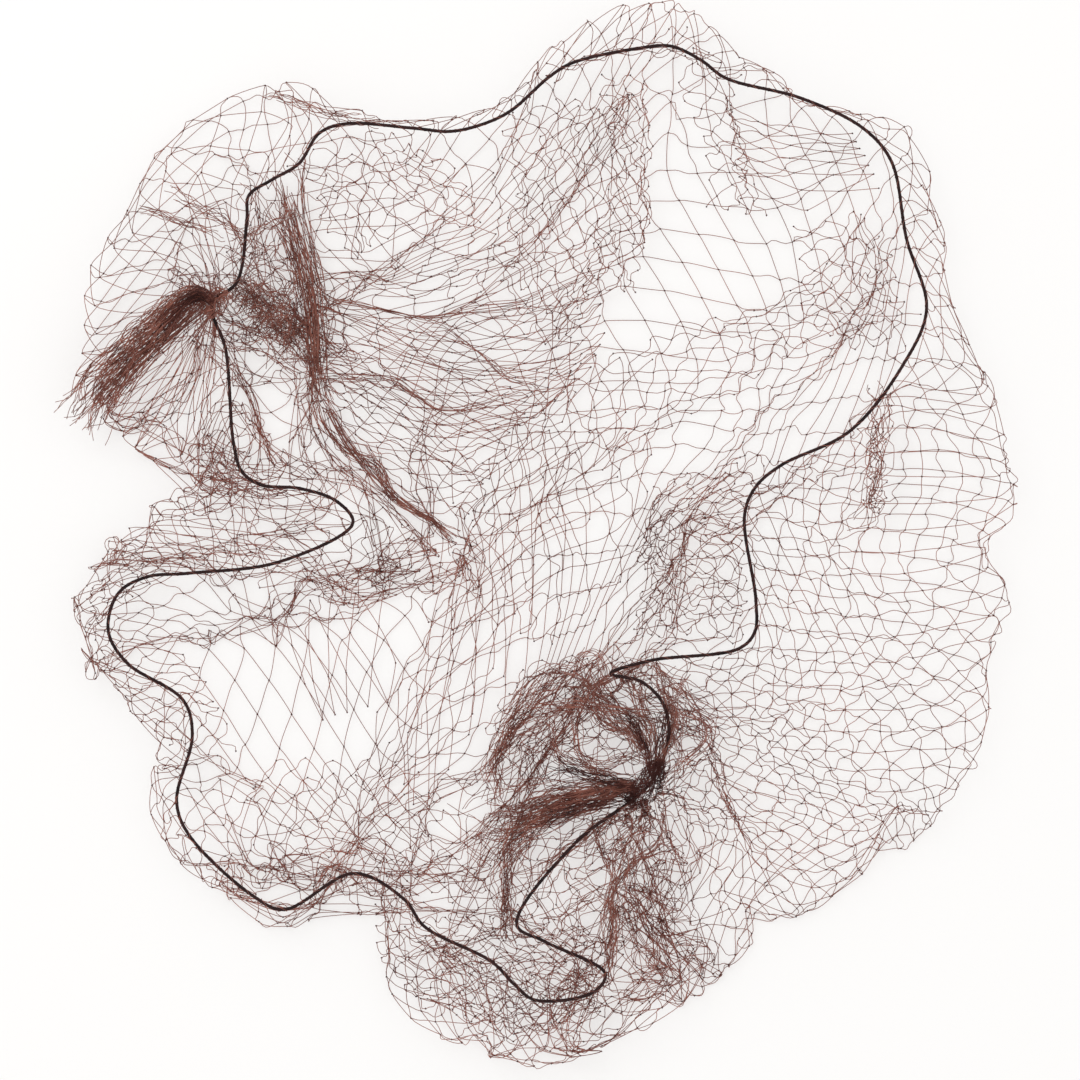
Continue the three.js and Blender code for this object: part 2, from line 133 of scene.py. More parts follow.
# %% Where the elastic runs and where the net folds
# elastic x, elastic y, fold x, fold y
SECTIONS = [
    (-53.1, 36.3, -77.1, 29.9), (-49.1, 39.8, -76.0, 38.4), (-47.5, 49.9, -65.1, 52.0),
    (-47.2, 53.6, -63.5, 60.3), (-43.7, 56.0, -54.4, 67.5), (-39.2, 58.7, -43.2, 72.3),
    (-36.0, 63.5, -36.3, 69.8), (-32.0, 65.0, -32.0, 68.8), (-20.8, 64.3, -20.8, 66.4),
    (-15.2, 63.8, -15.2, 65.9), (-10.4, 64.8, -10.9, 66.9), (-5.6, 67.0, -6.9, 69.4),
    (0.8, 72.6, -0.8, 75.5), (4.3, 74.7, 2.4, 78.4), (15.2, 77.1, 13.6, 83.5),
    (20.0, 77.4, 21.9, 82.7), (24.8, 75.2, 26.7, 79.0), (28.8, 72.3, 30.7, 74.6),
    (40.8, 69.1, 42.1, 71.4), (50.7, 64.3, 57.6, 65.6), (55.2, 59.0, 62.1, 59.5),
    (57.6, 46.7, 62.9, 49.1), (60.8, 35.5, 63.5, 37.1), (56.8, 26.2, 69.0, 23.5),
    (48.5, 16.0, 73.6, 8.3), (37.6, 10.6, 77.2, -0.5), (33.6, 7.2, 76.0, -4.5),
    (31.8, 2.7, 74.4, -8.5), (33.6, -10.9, 72.1, -12.8), (33.4, -16.0, 71.2, -15.7),
    (30.9, -18.6, 70.1, -19.7), (16.8, -20.5, 69.4, -22.2), (10.4, -22.6, 69.2, -25.2),
    (15.2, -23.8, 70.1, -30.1), (18.7, -27.2, 67.2, -37.3), (19.7, -32.5, 63.4, -43.4),
    (16.8, -40.0, 57.6, -49.8), (4.8, -49.6, 45.9, -57.0), (-4.5, -62.6, 35.2, -64.0),
    (0.0, -65.3, 30.4, -66.9), (9.6, -70.4, 20.8, -75.2), (7.8, -73.3, 14.4, -78.4),
    (-1.6, -74.6, 2.4, -82.6), (-4.8, -72.2, -4.0, -83.6), (-8.5, -68.5, -10.4, -82.1),
    (-19.2, -62.9, -24.0, -74.9), (-22.4, -58.6, -26.7, -66.1), (-30.4, -54.4, -31.2, -57.3),
    (-41.6, -60.2, -41.9, -62.7), (-46.4, -58.1, -48.0, -60.8), (-56.8, -48.2, -59.2, -50.1),
    (-58.7, -42.9, -61.3, -42.9), (-56.2, -32.5, -61.9, -33.0), (-57.6, -26.9, -66.4, -28.2),
    (-66.7, -20.8, -69.9, -21.0), (-69.6, -15.7, -72.9, -14.2), (-68.0, -9.8, -74.1, -8.2),
    (-63.5, -7.2, -71.6, -2.8), (-56.8, -6.6, -64.8, 1.8), (-42.4, -4.8, -57.8, 5.8),
    (-30.6, 1.4, -55.3, 7.3), (-33.1, 4.8, -54.8, 7.5), (-39.0, 6.9, -54.5, 7.7),
    (-45.3, 7.5, -54.2, 8.4), (-48.3, 9.6, -55.5, 9.3), (-49.6, 13.9, -59.7, 10.9),
    (-50.9, 29.1, -70.9, 17.0),
]
LEFT_TIE = 0
RIGHT_TIE = 36
ELASTIC_HEIGHT = 6.6
print("sections round the mouth:", len(SECTIONS), " right tie at:", SECTIONS[RIGHT_TIE][:2])

# %% [markdown]
# From points to curves. A curve object could be bent through the points too. Here they are joined by a
# centripetal Catmull-Rom curve, because the solids are, and so the netting and the cord lie where their
# solids do. It passes through every point, and makes no loops where the gaps are uneven.

# %% Smooth curves through the sections
CURVE_STEPS = 16


def smooth_loop(points, steps):
    """A closed centripetal Catmull-Rom curve through the points: steps places for each of them."""
    points = np.array(points, float)
    count = len(points)
    places = []
    for k in range(count):
        before, start, end, after = (points[(k + shift) % count] for shift in (-1, 0, 1, 2))
        t1 = np.linalg.norm(start - before) ** 0.5
        t2 = t1 + np.linalg.norm(end - start) ** 0.5
        t3 = t2 + np.linalg.norm(after - end) ** 0.5
        t = np.linspace(t1, t2, steps, endpoint=False)[:, None]
        a1 = (t1 - t) / t1 * before + t / t1 * start
        a2 = (t2 - t) / (t2 - t1) * start + (t - t1) / (t2 - t1) * end
        a3 = (t3 - t) / (t3 - t2) * end + (t - t2) / (t3 - t2) * after
        b1 = (t2 - t) / t2 * a1 + t / t2 * a2
        b2 = (t3 - t) / (t3 - t1) * a2 + (t - t1) / (t3 - t1) * a3
        places.append((t2 - t) / (t2 - t1) * b1 + (t - t1) / (t2 - t1) * b2)
    return np.concatenate(places)


def length_along(line):
    """The distance along a line of points, at each point."""
    return np.r_[0.0, np.cumsum(np.linalg.norm(np.diff(line, axis=0), axis=1))]


elastic_loop = smooth_loop([row[:2] for row in SECTIONS], CURVE_STEPS)
outline_loop = smooth_loop([row[2:] for row in SECTIONS], CURVE_STEPS)
tie_place = RIGHT_TIE * CURVE_STEPS
upper_edge = elastic_loop[LEFT_TIE:tie_place + 1]
lower_edge = np.concatenate([elastic_loop[tie_place:], elastic_loop[:1]])[::-1]
print("elastic, mm:", round(length_along(upper_edge)[-1] + length_along(lower_edge)[-1]))


def edge_at(line, share):
    """The point that lies a share of the way along an edge, counted from the left tie."""
    along = length_along(line)
    return np.array([np.interp(share * along[-1], along, line[:, axis]) for axis in (0, 1)])


# %% [markdown]
# How the panel lies. A net is easiest to think of as cloth with a grain: rows run from tie to tie, and
# cross lines go from the upper edge to the lower. Each line of the table follows one cross line over
# the top layer, round the fold, across the table and back up to the elastic. Its first numbers are the
# share of the way from tie to tie, and the shares of the rows at which it goes down and comes up again.
# It could also be found by dropping a panel in a cloth simulation, but that would hardly fall into
# the very folds of the photo, so the lie is listed here and only the crumple is worked out.

# %% The guide: cross lines of the panel, as points (x, y, share of the rows)
GUIDE = [
    (0.000, 0.50, 0.50, [(-53, 37, 0.05), (-54, 37, 0.25), (-54, 36, 0.50), (-53, 35, 0.75),
                         (-53, 36, 0.95)]),
    (0.011, 0.50, 0.50, [(-54, 44, 0.10), (-60, 42, 0.18), (-61, 37, 0.25), (-59, 34, 0.32),
                         (-58, 33, 0.50), (-57, 32, 0.68), (-56, 29, 0.80), (-53, 29, 0.90)]),
    (0.021, 0.50, 0.50, [(-57, 50, 0.08), (-64, 47, 0.14), (-68, 40, 0.20), (-69, 33, 0.26),
                         (-68, 29, 0.31), (-66, 27, 0.50), (-64, 24, 0.68), (-60, 20, 0.78),
                         (-55, 21, 0.88)]),
    (0.030, 0.50, 0.50, [(-56, 58, 0.07), (-64, 52, 0.12), (-72, 43, 0.17), (-76, 37, 0.22),
                         (-77, 29, 0.27), (-75, 23, 0.31), (-72, 20, 0.50), (-69, 17, 0.68),
                         (-63, 15, 0.78), (-56, 16, 0.88)]),
    (0.041, 0.11, 0.80, [(-55, 58, 0.05), (-64, 59, 0.11), (-70, 45, 0.19), (-72, 36, 0.27),
                         (-72, 27, 0.34), (-70, 22, 0.42), (-68, 19, 0.52), (-65, 16, 0.66),
                         (-63, 13, 0.80), (-57, 16, 0.90)]),
    (0.053, 0.10, 0.84, [(-50, 60, 0.05), (-57, 67, 0.10), (-63, 55, 0.18), (-66, 42, 0.26),
                         (-65, 32, 0.34), (-63, 26, 0.44), (-61, 20, 0.55), (-60, 15, 0.68),
                         (-59, 11, 0.84), (-54, 14, 0.92)]),
    (0.069, 0.09, 0.86, [(-42, 65, 0.05), (-45, 72, 0.09), (-53, 61, 0.17), (-57, 50, 0.25),
                         (-58, 39, 0.34), (-57, 30, 0.45), (-56, 23, 0.57), (-56, 15, 0.70),
                         (-56, 9, 0.86), (-52, 12, 0.94)]),
    (0.090, 0.06, 0.95, [(-37, 69, 0.06), (-47, 63, 0.14), (-51, 53, 0.25), (-52, 44, 0.37),
                         (-52, 36, 0.50), (-51, 29, 0.64), (-50, 21, 0.77), (-51, 15, 0.87),
                         (-55, 9, 0.95)]),
    (0.125, 0.05, 0.89, [(-27, 67, 0.05), (-32, 60, 0.10), (-40, 54, 0.15), (-45, 47, 0.21),
                         (-47, 40, 0.28), (-47, 34, 0.37), (-46, 27, 0.47), (-45, 20, 0.57),
                         (-45, 14, 0.68), (-49, 10, 0.80), (-55, 8, 0.89)]),
    (0.160, 0.04, 0.85, [(-18, 66, 0.04), (-21, 58, 0.09), (-29, 51, 0.14), (-37, 45, 0.20),
                         (-41, 39, 0.27), (-41, 34, 0.35), (-40, 27, 0.43), (-38, 20, 0.51),
                         (-36, 12, 0.59), (-39, 5, 0.68), (-47, 4, 0.77), (-57, 6, 0.85),
                         (-56, 9, 0.90)]),
    (0.206, 0.04, 0.86, [(-7, 69, 0.04), (-9, 60, 0.08), (-15, 51, 0.13), (-26, 44, 0.19),
                         (-35, 38, 0.25), (-38, 33, 0.31), (-37, 27, 0.39), (-36, 19, 0.47),
                         (-31, 11, 0.53), (-25, 3, 0.60), (-31, -3, 0.67), (-42, -4, 0.74),
                         (-55, -2, 0.81), (-66, 1, 0.86), (-57, 4, 0.91)]),
    (0.262, 0.05, 0.87, [(2, 78, 0.05), (2, 68, 0.09), (-1, 57, 0.13), (-10, 47, 0.19), (-24, 39, 0.26),
                         (-33, 32, 0.32), (-35, 25, 0.36), (-33, 17, 0.40), (-27, 10, 0.45),
                         (-18, 2, 0.51), (-22, -4, 0.57), (-33, -6, 0.64), (-46, -7, 0.72),
                         (-59, -6, 0.80), (-71, -5, 0.87), (-65, -2, 0.93)]),
    (0.300, 0.06, 0.91, [(14, 83, 0.06), (10, 70, 0.10), (7, 60, 0.14), (0, 49, 0.19), (-11, 39, 0.26),
                         (-24, 29, 0.33), (-26, 19, 0.38), (-22, 11, 0.43), (-16, 1, 0.48),
                         (-19, -6, 0.54), (-30, -9, 0.62), (-41, -10, 0.71), (-54, -10, 0.81),
                         (-73, -11, 0.91)]),
    (0.345, 0.06, 0.92, [(23, 81, 0.06), (16, 70, 0.11), (11, 60, 0.16), (5, 50, 0.22), (-5, 39, 0.30),
                         (-14, 29, 0.38), (-17, 19, 0.44), (-16, 10, 0.49), (-13, -3, 0.56),
                         (-18, -9, 0.62), (-28, -11, 0.68), (-39, -11, 0.74), (-52, -12, 0.81),
                         (-72, -16, 0.92)]),
    (0.380, 0.05, 0.92, [(32, 75, 0.05), (26, 63, 0.12), (19, 52, 0.20), (12, 40, 0.28), (6, 30, 0.34),
                         (-1, 20, 0.40), (-6, 13, 0.46), (-9, 5, 0.50), (-9, -6, 0.56), (-15, -14, 0.62),
                         (-25, -16, 0.68), (-37, -15, 0.74), (-49, -15, 0.81), (-60, -17, 0.87),
                         (-70, -22, 0.92)]),
    (0.415, 0.05, 0.93, [(41, 71, 0.05), (41, 59, 0.10), (37, 41, 0.19), (30, 29, 0.27), (21, 21, 0.34),
                         (13, 14, 0.40), (5, 7, 0.46), (0, 0, 0.50), (-5, -12, 0.56), (-14, -27, 0.63),
                         (-24, -37, 0.69), (-34, -40, 0.76), (-45, -39, 0.82), (-55, -35, 0.88),
                         (-64, -30, 0.93)]),
    (0.450, 0.05, 0.94, [(52, 68, 0.05), (51, 59, 0.09), (48, 45, 0.15), (42, 32, 0.22), (34, 23, 0.29),
                         (26, 17, 0.35), (17, 10, 0.41), (9, 1, 0.46), (1, -17, 0.54), (-11, -36, 0.63),
                         (-23, -44, 0.70), (-34, -46, 0.77), (-45, -44, 0.83), (-54, -42, 0.89),
                         (-62, -40, 0.94)]),
    (0.490, 0.06, 0.94, [(62, 59, 0.06), (56, 51, 0.11), (52, 40, 0.17), (45, 28, 0.22), (37, 20, 0.27),
                         (29, 13, 0.32), (20, 5, 0.37), (12, -6, 0.42), (3, -24, 0.49), (-10, -42, 0.58),
                         (-22, -48, 0.66), (-34, -50, 0.74), (-44, -48, 0.82), (-61, -45, 0.94)]),
    (0.540, 0.06, 0.94, [(64, 42, 0.06), (59, 34, 0.11), (53, 24, 0.17), (45, 16, 0.22), (37, 11, 0.28),
                         (29, 5, 0.34), (23, -2, 0.39), (15, -13, 0.45), (4, -29, 0.52), (-9, -47, 0.61),
                         (-21, -53, 0.69), (-33, -55, 0.77), (-43, -54, 0.85), (-55, -55, 0.94)]),
    (0.595, 0.08, 0.95, [(70, 20, 0.08), (58, 20, 0.14), (52, 13, 0.19), (44, 6, 0.25), (35, 1, 0.31),
                         (28, -5, 0.37), (21, -12, 0.43), (12, -21, 0.49), (4, -35, 0.57),
                         (-8, -51, 0.67), (-20, -58, 0.76), (-32, -58, 0.84), (-46, -60, 0.95)]),
    (0.652, 0.15, 0.94, [(75, 4, 0.15), (63, 3, 0.21), (52, -3, 0.27), (41, -10, 0.34), (32, -14, 0.40),
                         (24, -18, 0.45), (16, -20, 0.50), (7, -28, 0.57), (-1, -40, 0.66),
                         (-11, -54, 0.76), (-21, -60, 0.85), (-32, -58, 0.94)]),
    (0.697, 0.20, 0.90, [(52, -4, 0.10), (74, -9, 0.20), (64, -13, 0.26), (52, -18, 0.33),
                         (39, -22, 0.39), (28, -23, 0.45), (16, -24, 0.51), (5, -30, 0.58),
                         (-4, -42, 0.66), (-8, -53, 0.74), (-13, -63, 0.81), (-24, -75, 0.90),
                         (-17, -70, 0.95)]),
    (0.738, 0.23, 0.88, [(52, -14, 0.12), (70, -21, 0.23), (58, -25, 0.30), (46, -28, 0.37),
                         (35, -29, 0.43), (24, -30, 0.49), (14, -34, 0.55), (5, -42, 0.62),
                         (0, -52, 0.69), (-2, -63, 0.76), (-14, -81, 0.88), (-7, -76, 0.94)]),
    (0.782, 0.24, 0.86, [(50, -24, 0.12), (69, -34, 0.24), (54, -36, 0.32), (42, -38, 0.40),
                         (30, -40, 0.47), (23, -42, 0.53), (17, -47, 0.59), (10, -55, 0.66),
                         (5, -66, 0.74), (-2, -83, 0.86), (2, -76, 0.94)]),
    (0.828, 0.27, 0.83, [(43, -34, 0.13), (61, -46, 0.27), (52, -47, 0.35), (41, -48, 0.43),
                         (31, -50, 0.51), (23, -53, 0.58), (17, -60, 0.66), (12, -68, 0.73),
                         (9, -81, 0.83), (6, -73, 0.92)]),
    (0.857, 0.27, 0.82, [(37, -35, 0.12), (54, -52, 0.27), (46, -53, 0.35), (37, -55, 0.42),
                         (30, -57, 0.49), (24, -61, 0.56), (19, -66, 0.64), (15, -72, 0.73),
                         (14, -78, 0.82), (10, -72, 0.92)]),
    (0.885, 0.28, 0.80, [(32, -34, 0.10), (41, -45, 0.19), (48, -56, 0.28), (41, -59, 0.35),
                         (36, -61, 0.42), (32, -64, 0.49), (27, -67, 0.56), (24, -70, 0.66),
                         (21, -75, 0.80), (15, -71, 0.89)]),
    (0.912, 0.50, 0.50, [(26, -34, 0.10), (31, -43, 0.19), (35, -51, 0.28), (32, -55, 0.36),
                         (28, -58, 0.44), (24, -60, 0.52), (20, -63, 0.61), (17, -67, 0.73),
                         (13, -63, 0.87)]),
    (0.948, 0.50, 0.50, [(23, -30, 0.10), (27, -37, 0.22), (28, -44, 0.34), (25, -50, 0.46),
                         (20, -53, 0.60), (14, -55, 0.75), (9, -52, 0.88)]),
    (1.000, 0.50, 0.50, [(17, -39, 0.05), (18, -41, 0.25), (17, -42, 0.50), (15, -42, 0.75),
                         (14, -43, 0.95)]),
]

# %% [markdown]
# From the guide to a lattice. A diamond net has a knot at every second crossing of its rows and cross
# lines, like the black squares of a chess board, and a bar of thread between each knot and its four
# diagonal neighbours. Its size follows from two counts and the length of a bar. The guide's lines are
# joined by smooth curves both ways, which gives each knot its place before the net is crumpled.

# %% The lattice of knots
CROSS_LINES = 120
ROWS = 64
BAR = 6.5


def through(t, stops, points):
    """A smooth curve through points at the given stops, read at t. The stops need not be even."""
    k = np.clip(np.searchsorted(stops, t, side="right") - 1, 0, len(stops) - 2)
    gap = np.diff(stops)
    slope = np.diff(points, axis=0) / gap[:, None]
    tangent = np.empty_like(points)
    tangent[0], tangent[-1] = slope[0], slope[-1]
    weight = gap[:-1] + gap[1:]
    tangent[1:-1] = (slope[:-1] * gap[1:, None] + slope[1:] * gap[:-1, None]) / weight[:, None]
    u = ((t - stops[k]) / gap[k])[:, None]
    reach = gap[k][:, None]
    return ((2 * u**3 - 3 * u**2 + 1) * points[k] + (u**3 - 2 * u**2 + u) * reach * tangent[k]
            + (3 * u**2 - 2 * u**3) * points[k + 1] + (u**3 - u**2) * reach * tangent[k + 1])


def lay_guide():
    """Each knot's place on the smooth panel, by cross line and row."""
    row_shares = np.arange(ROWS + 1) / ROWS
    lines = []
    for share, _, _, points in GUIDE:
        stops = np.array([(*edge_at(upper_edge, share), 0.0), *points, (*edge_at(lower_edge, share), 1.0)])
        lines.append(through(row_shares, stops[:, 2], stops[:, :2]))
    lines = np.array(lines)
    shares = np.array([line[0] for line in GUIDE])
    across = np.arange(CROSS_LINES + 1) / CROSS_LINES
    panel = np.stack([through(across, shares, lines[:, row]) for row in range(ROWS + 1)], axis=1)
    panel[:, 0] = [edge_at(upper_edge, share) for share in across]
    panel[:, -1] = [edge_at(lower_edge, share) for share in across]
    return panel


panel = lay_guide()
print("knots:", (CROSS_LINES + 1) * (ROWS + 1) // 2, " panel laid flat, mm:",
      round(CROSS_LINES * BAR / math.sqrt(2)), "by", round(ROWS * BAR / math.sqrt(2)))

# %% [markdown]
# Folds. Where the netting is drawn together it makes a rope of threads. Each line below is such a
# fold, with how far it reaches and how much it draws in. A knot near it moves towards it, as it would
# if the net were pinched along that line.

# %% Draw the netting together along its folds
# points along the fold, how far it reaches, how much it draws in
FOLDS = [
    ([(-42, 51), (-39, 43), (-37, 34), (-36, 24)], 4.2, 0.8),
    ([(-36, 24), (-34, 17), (-31, 13), (-24, 5), (-16, 0)], 3.5, 0.8),
    ([(-32, 39), (-20, 37), (-7, 36), (9, 32)], 2.6, 0.5),
    ([(-26, 24), (-15, 20), (-6, 20)], 2.6, 0.5),
    ([(-65, 52), (-55, 50), (-47, 45)], 2.9, 0.5),
    ([(-7, 61), (-9, 55), (-10, 47)], 2.9, 0.5),
    ([(15, 64), (16, 58), (14, 47), (8, 32)], 3.2, 0.6),
    ([(20, 76), (27, 72), (31, 61)], 3.5, 0.6),
    ([(50, 16), (53, 10), (52, 1)], 3.8, 0.6),
    ([(15, -27), (23, -25), (31, -20)], 3.5, 0.5),
    ([(9, -11), (15, -4), (17, 5), (25, 10)], 3.2, 0.5),
    ([(-9, -41), (-4, -29), (5, -21), (15, -24)], 4.2, 0.6),
    ([(-6, -65), (-6, -48), (0, -51)], 3.2, 0.5),
    ([(15, -48), (12, -52), (10, -70)], 4.2, 0.7),
]


def nearest_on(line, points):
    """For each point, the nearest place on a line of points, and how far that is."""
    line = np.array(line, float)
    best = np.full(points.shape[:-1], np.inf)
    place = np.zeros_like(points)
    for start, end in zip(line[:-1], line[1:]):
        way = end - start
        share = np.clip((points - start) @ way / (way @ way), 0, 1)
        spot = start + share[..., None] * way
        distance = np.linalg.norm(points - spot, axis=-1)
        closer = distance < best
        best = np.where(closer, distance, best)
        place[closer] = spot[closer]
    return place, best


def draw_together(points):
    """The knots, moved towards the folds that they are near."""
    for line, reach, strength in FOLDS:
        place, distance = nearest_on(line, points)
        points = points + (place - points) * (strength * np.exp(-(distance / reach) ** 2))[..., None]
    return points


drawn = draw_together(panel)
print("most that a fold moves a knot, mm:", round(float(np.linalg.norm(drawn - panel, axis=-1).max()), 1))

# %% [markdown]
# Heights. The part of the panel between the two folds lies on the table, and the rest is the top layer,
# which comes in to the elastic. Between them the netting turns over in a fold a few millimetres high,
# because the springy thread doesn't fold flat. The height is worked out from how many steps of the
# lattice a knot is from the fold.

# %% The height of each knot
TABLE_LAYER = 0.7
TOP_LAYER = 5.3
BETWEEN_LAYERS = (TABLE_LAYER + TOP_LAYER) / 2
TURN_STEPS = 1.6
FAR_FROM_FOLD = 99.0


def steps_from_fold():
    """Steps from each knot to the fold: above nought on the top layer, below it on the table."""
    across = np.arange(CROSS_LINES + 1) / CROSS_LINES
    shares = [line[0] for line in GUIDE]
    down = np.interp(across, shares, [line[1] for line in GUIDE]) * ROWS
    up = np.interp(across, shares, [line[2] for line in GUIDE]) * ROWS
    rows = np.arange(ROWS + 1)
    on_table = (rows > down[:, None]) & (rows < up[:, None])
    cross, row = np.meshgrid(np.arange(CROSS_LINES + 1), rows, indexing="ij")
    steps = np.full(on_table.shape, FAR_FROM_FOLD)
    for line in range(CROSS_LINES + 1):
        for fold in (down[line], up[line]):
            if down[line] < up[line]:
                steps = np.minimum(steps, np.hypot(cross - line, row - fold))
    return np.where(on_table, -steps, steps)


from_fold = steps_from_fold()
turn = np.clip(from_fold / TURN_STEPS, -1, 1)
height = TABLE_LAYER + (TOP_LAYER - TABLE_LAYER) * (0.5 + 0.5 * np.sin(turn * math.pi / 2))
print("knots on the table:", int((from_fold < 0).sum()) // 2)

# %% [markdown]
# Slack. The panel has far more netting than the place that it lies in, and netting can't shrink: the
# spare part goes into small folds, seen as crossing bars. A noise texture could move the knots, but
# random values on a coarse grid, blended between its cells, give a move that is known at each knot.
# How far the knots may move follows from how long the bars are on the smooth panel.

# %% Smooth random moves, and the slack of the panel
def smooth_noise(shape, cells, draw):
    """A random move for each knot, which changes smoothly over the given number of cells."""
    grid = draw.standard_normal((cells[0] + 2, cells[1] + 2, 2))

    def between(count, parts):
        place = np.linspace(0, parts, count)
        cell = np.minimum(place.astype(int), parts - 1)
        share = place - cell
        return cell, share * share * (3 - 2 * share)

    i, u = between(shape[0], cells[0])
    j, v = between(shape[1], cells[1])
    u = u[:, None, None]
    v = v[None, :, None]
    near = grid[i][:, j] * (1 - u) + grid[i + 1][:, j] * u
    far = grid[i][:, j + 1] * (1 - u) + grid[i + 1][:, j + 1] * u
    return near * (1 - v) + far * v


def stretch_of(points):
    """The mean square of a bar's length round each knot."""
    return (np.gradient(points, axis=0) ** 2).sum(-1) + (np.gradient(points, axis=1) ** 2).sum(-1)


def soften(values, rounds):
    """Values on the lattice, blurred."""
    for _ in range(rounds):
        padded = np.pad(values, 1, mode="edge")
        across = padded[:-2, 1:-1] + padded[2:, 1:-1]
        along = padded[1:-1, :-2] + padded[1:-1, 2:]
        values = (across + along + 2 * values) / 6
    return values


mean_bar = math.sqrt(stretch_of(drawn).mean())
print("mean bar of the smooth panel, mm:", round(mean_bar, 1), "of", BAR)

# %% [markdown]
# What holds the net. A thread gives way when it is pushed and doesn't stretch, so a bar only pulls, and
# only when its knots are further apart than its thread is long. Blender's own cloth could do this too,
# with its stiffness against being pushed set to nothing. It wasn't tried here. Code was chosen because
# it comes out the same in every run, and because the slack, the flat places and the outline can be set
# for each part of the net.

# %% Bars that pull, and the test of the outline
LEFT_OVER = 0.99
PULL_SHARE = 0.36


def knot_mask(shape):
    """Whether each crossing of a lattice has a knot: every second one has."""
    return np.add.outer(np.arange(shape[0]), np.arange(shape[1])) % 2 == 0


def bar_ends(shape):
    """The two sets of bars, as slices of a lattice and a mask of those that exist."""
    knot = knot_mask(shape)
    low, high = slice(None, -1), slice(1, None)
    return [((low, low), (high, high), knot[low, low]), ((high, low), (low, high), knot[high, low])]


def pull_on(knots, levels):
    """How far each knot is pulled by the bars that are longer than their thread."""
    pull = np.zeros_like(knots)
    for start, end, exists in bar_ends(knots.shape[:2]):
        bar = knots[end] - knots[start]
        long = np.linalg.norm(bar, axis=-1) + 1e-6
        most = np.sqrt((LEFT_OVER * BAR) ** 2 - (levels[end] - levels[start]) ** 2)
        over = np.where(exists & (long > most), (long - most) / long, 0) * PULL_SHARE
        pull[start] += bar * over[..., None]
        pull[end] -= bar * over[..., None]
    return pull


def closed_up(loop):
    """A closed loop with its first point once more at the end."""
    return np.concatenate([loop, loop[:1]])


def is_outside(points, loop):
    """Whether each point is outside a closed loop."""
    inside = np.zeros(points.shape[:-1], bool)
    for start, end in zip(loop, np.roll(loop, -1, axis=0)):
        spans = (start[1] > points[..., 1]) != (end[1] > points[..., 1])
        if spans.any():
            at = start[0] + (points[..., 1] - start[1]) / (end[1] - start[1] + 1e-12) * (end[0] - start[0])
            inside ^= spans & (points[..., 0] < at)
    return ~inside


print("knots past the outline, smooth panel:", int(is_outside(drawn, outline_loop).sum()) // 2)

# %% [markdown]
# Crumple. Each knot gets a smooth random move that is larger where the panel is slack, and smaller at a
# few places where the net lies spread out. Then every bar that came out longer than its thread pulls its
# two knots together, over and over, until the net holds, and now and then the knots that strayed past
# the outline are moved back towards it. The knots on the elastic and at the ties stay where they are.

# %% Crumple the panel, and pull its bars back to length
SEED = 7
FILL = 0.64
# cells along the panel, cells across it, weight
FOLD_SIZES = ((14, 8, 0.5), (28, 15, 0.9), (52, 28, 0.45))
# x, y, how far it reaches and how flat it is: places where the netting lies spread out
SPREAD = [(54, -16, 28, 0.85), (40, -40, 20, 0.85), (24, 36, 20, 0.5), (-40, -26, 16, 0.35),
          (62, 6, 14, 0.85), (33, 14, 14, 0.5)]
SLACK_ROUNDS = 3
SLACK_AT_EDGE = 0.1
TIE_STEPS = 7
EDGE_STEPS = 4
ROUNDS = 400
HOLD = 0.01
OUTLINE_STRIDE = 4
OUTLINE_ROUNDS = 100
OUTSIDE = 0.5
BROUGHT_BACK = 0.6


def crumple(smooth, draw):
    """The lattice after its spare netting has gone into small folds."""
    shape = smooth.shape[:2]
    move = sum(weight * smooth_noise(shape, (long, wide), draw) for long, wide, weight in FOLD_SIZES)
    move /= math.sqrt(stretch_of(move).mean())
    spare = np.sqrt(np.maximum((FILL * BAR) ** 2 - stretch_of(smooth), 0))
    cross, row = np.meshgrid(np.arange(shape[0]), np.arange(shape[1]), indexing="ij")
    from_tie = np.minimum(cross, CROSS_LINES - cross) / TIE_STEPS
    from_edge = np.minimum(row, ROWS - row) / EDGE_STEPS
    spare = soften(spare, SLACK_ROUNDS) * np.clip(from_tie, 0, 1) * np.clip(from_edge, SLACK_AT_EDGE, 1)
    for x, y, reach, flat in SPREAD:
        spare *= 1 - flat * np.exp(-(np.linalg.norm(smooth - [x, y], axis=-1) / reach) ** 4)
    wanted = smooth + move * spare[..., None]
    fixed = (from_tie == 0) | (from_edge == 0)
    wanted[fixed] = smooth[fixed]
    knots = wanted.copy()
    outline = outline_loop[::OUTLINE_STRIDE]
    for count in range(ROUNDS):
        knots += pull_on(knots, height) * (~fixed)[..., None] + (wanted - knots) * HOLD
        if (count + 1) % OUTLINE_ROUNDS == 0:
            out = is_outside(knots, outline) & ~fixed
            place, distance = nearest_on(closed_up(outline), knots[out])
            back = BROUGHT_BACK * np.clip((distance - OUTSIDE) / (distance + 1e-9), 0, 1)
            knots[out] += (place - knots[out]) * back[:, None]
        knots[fixed] = smooth[fixed]
    return knots


crumpled = crumple(drawn, np.random.default_rng(SEED))
moved = np.linalg.norm(crumpled - drawn, axis=-1)
print("the crumple moves a knot, mm:", round(float(moved.mean()), 1), "on average")

# %% [markdown]
# Bars in line. Seen from above, the bars of a diamond net follow one another along its diagonals, as if
# one thread ran on through the knots. So each bar leaves a knot in the direction that the knots before
# it and after it on its diagonal give. The bars are listed first, by the knots at their two ends.

# %% The bars, and the directions in which they leave their knots
def list_bars(shape):
    """The lattice places of each bar's two knots."""
    places = []
    for cross in range(shape[0] - 1):
        for row in range(cross % 2, shape[1], 2):
            places += [(cross, row, cross + 1, row + step) for step in (-1, 1) if 0 <= row + step < shape[1]]
    return np.array(places)


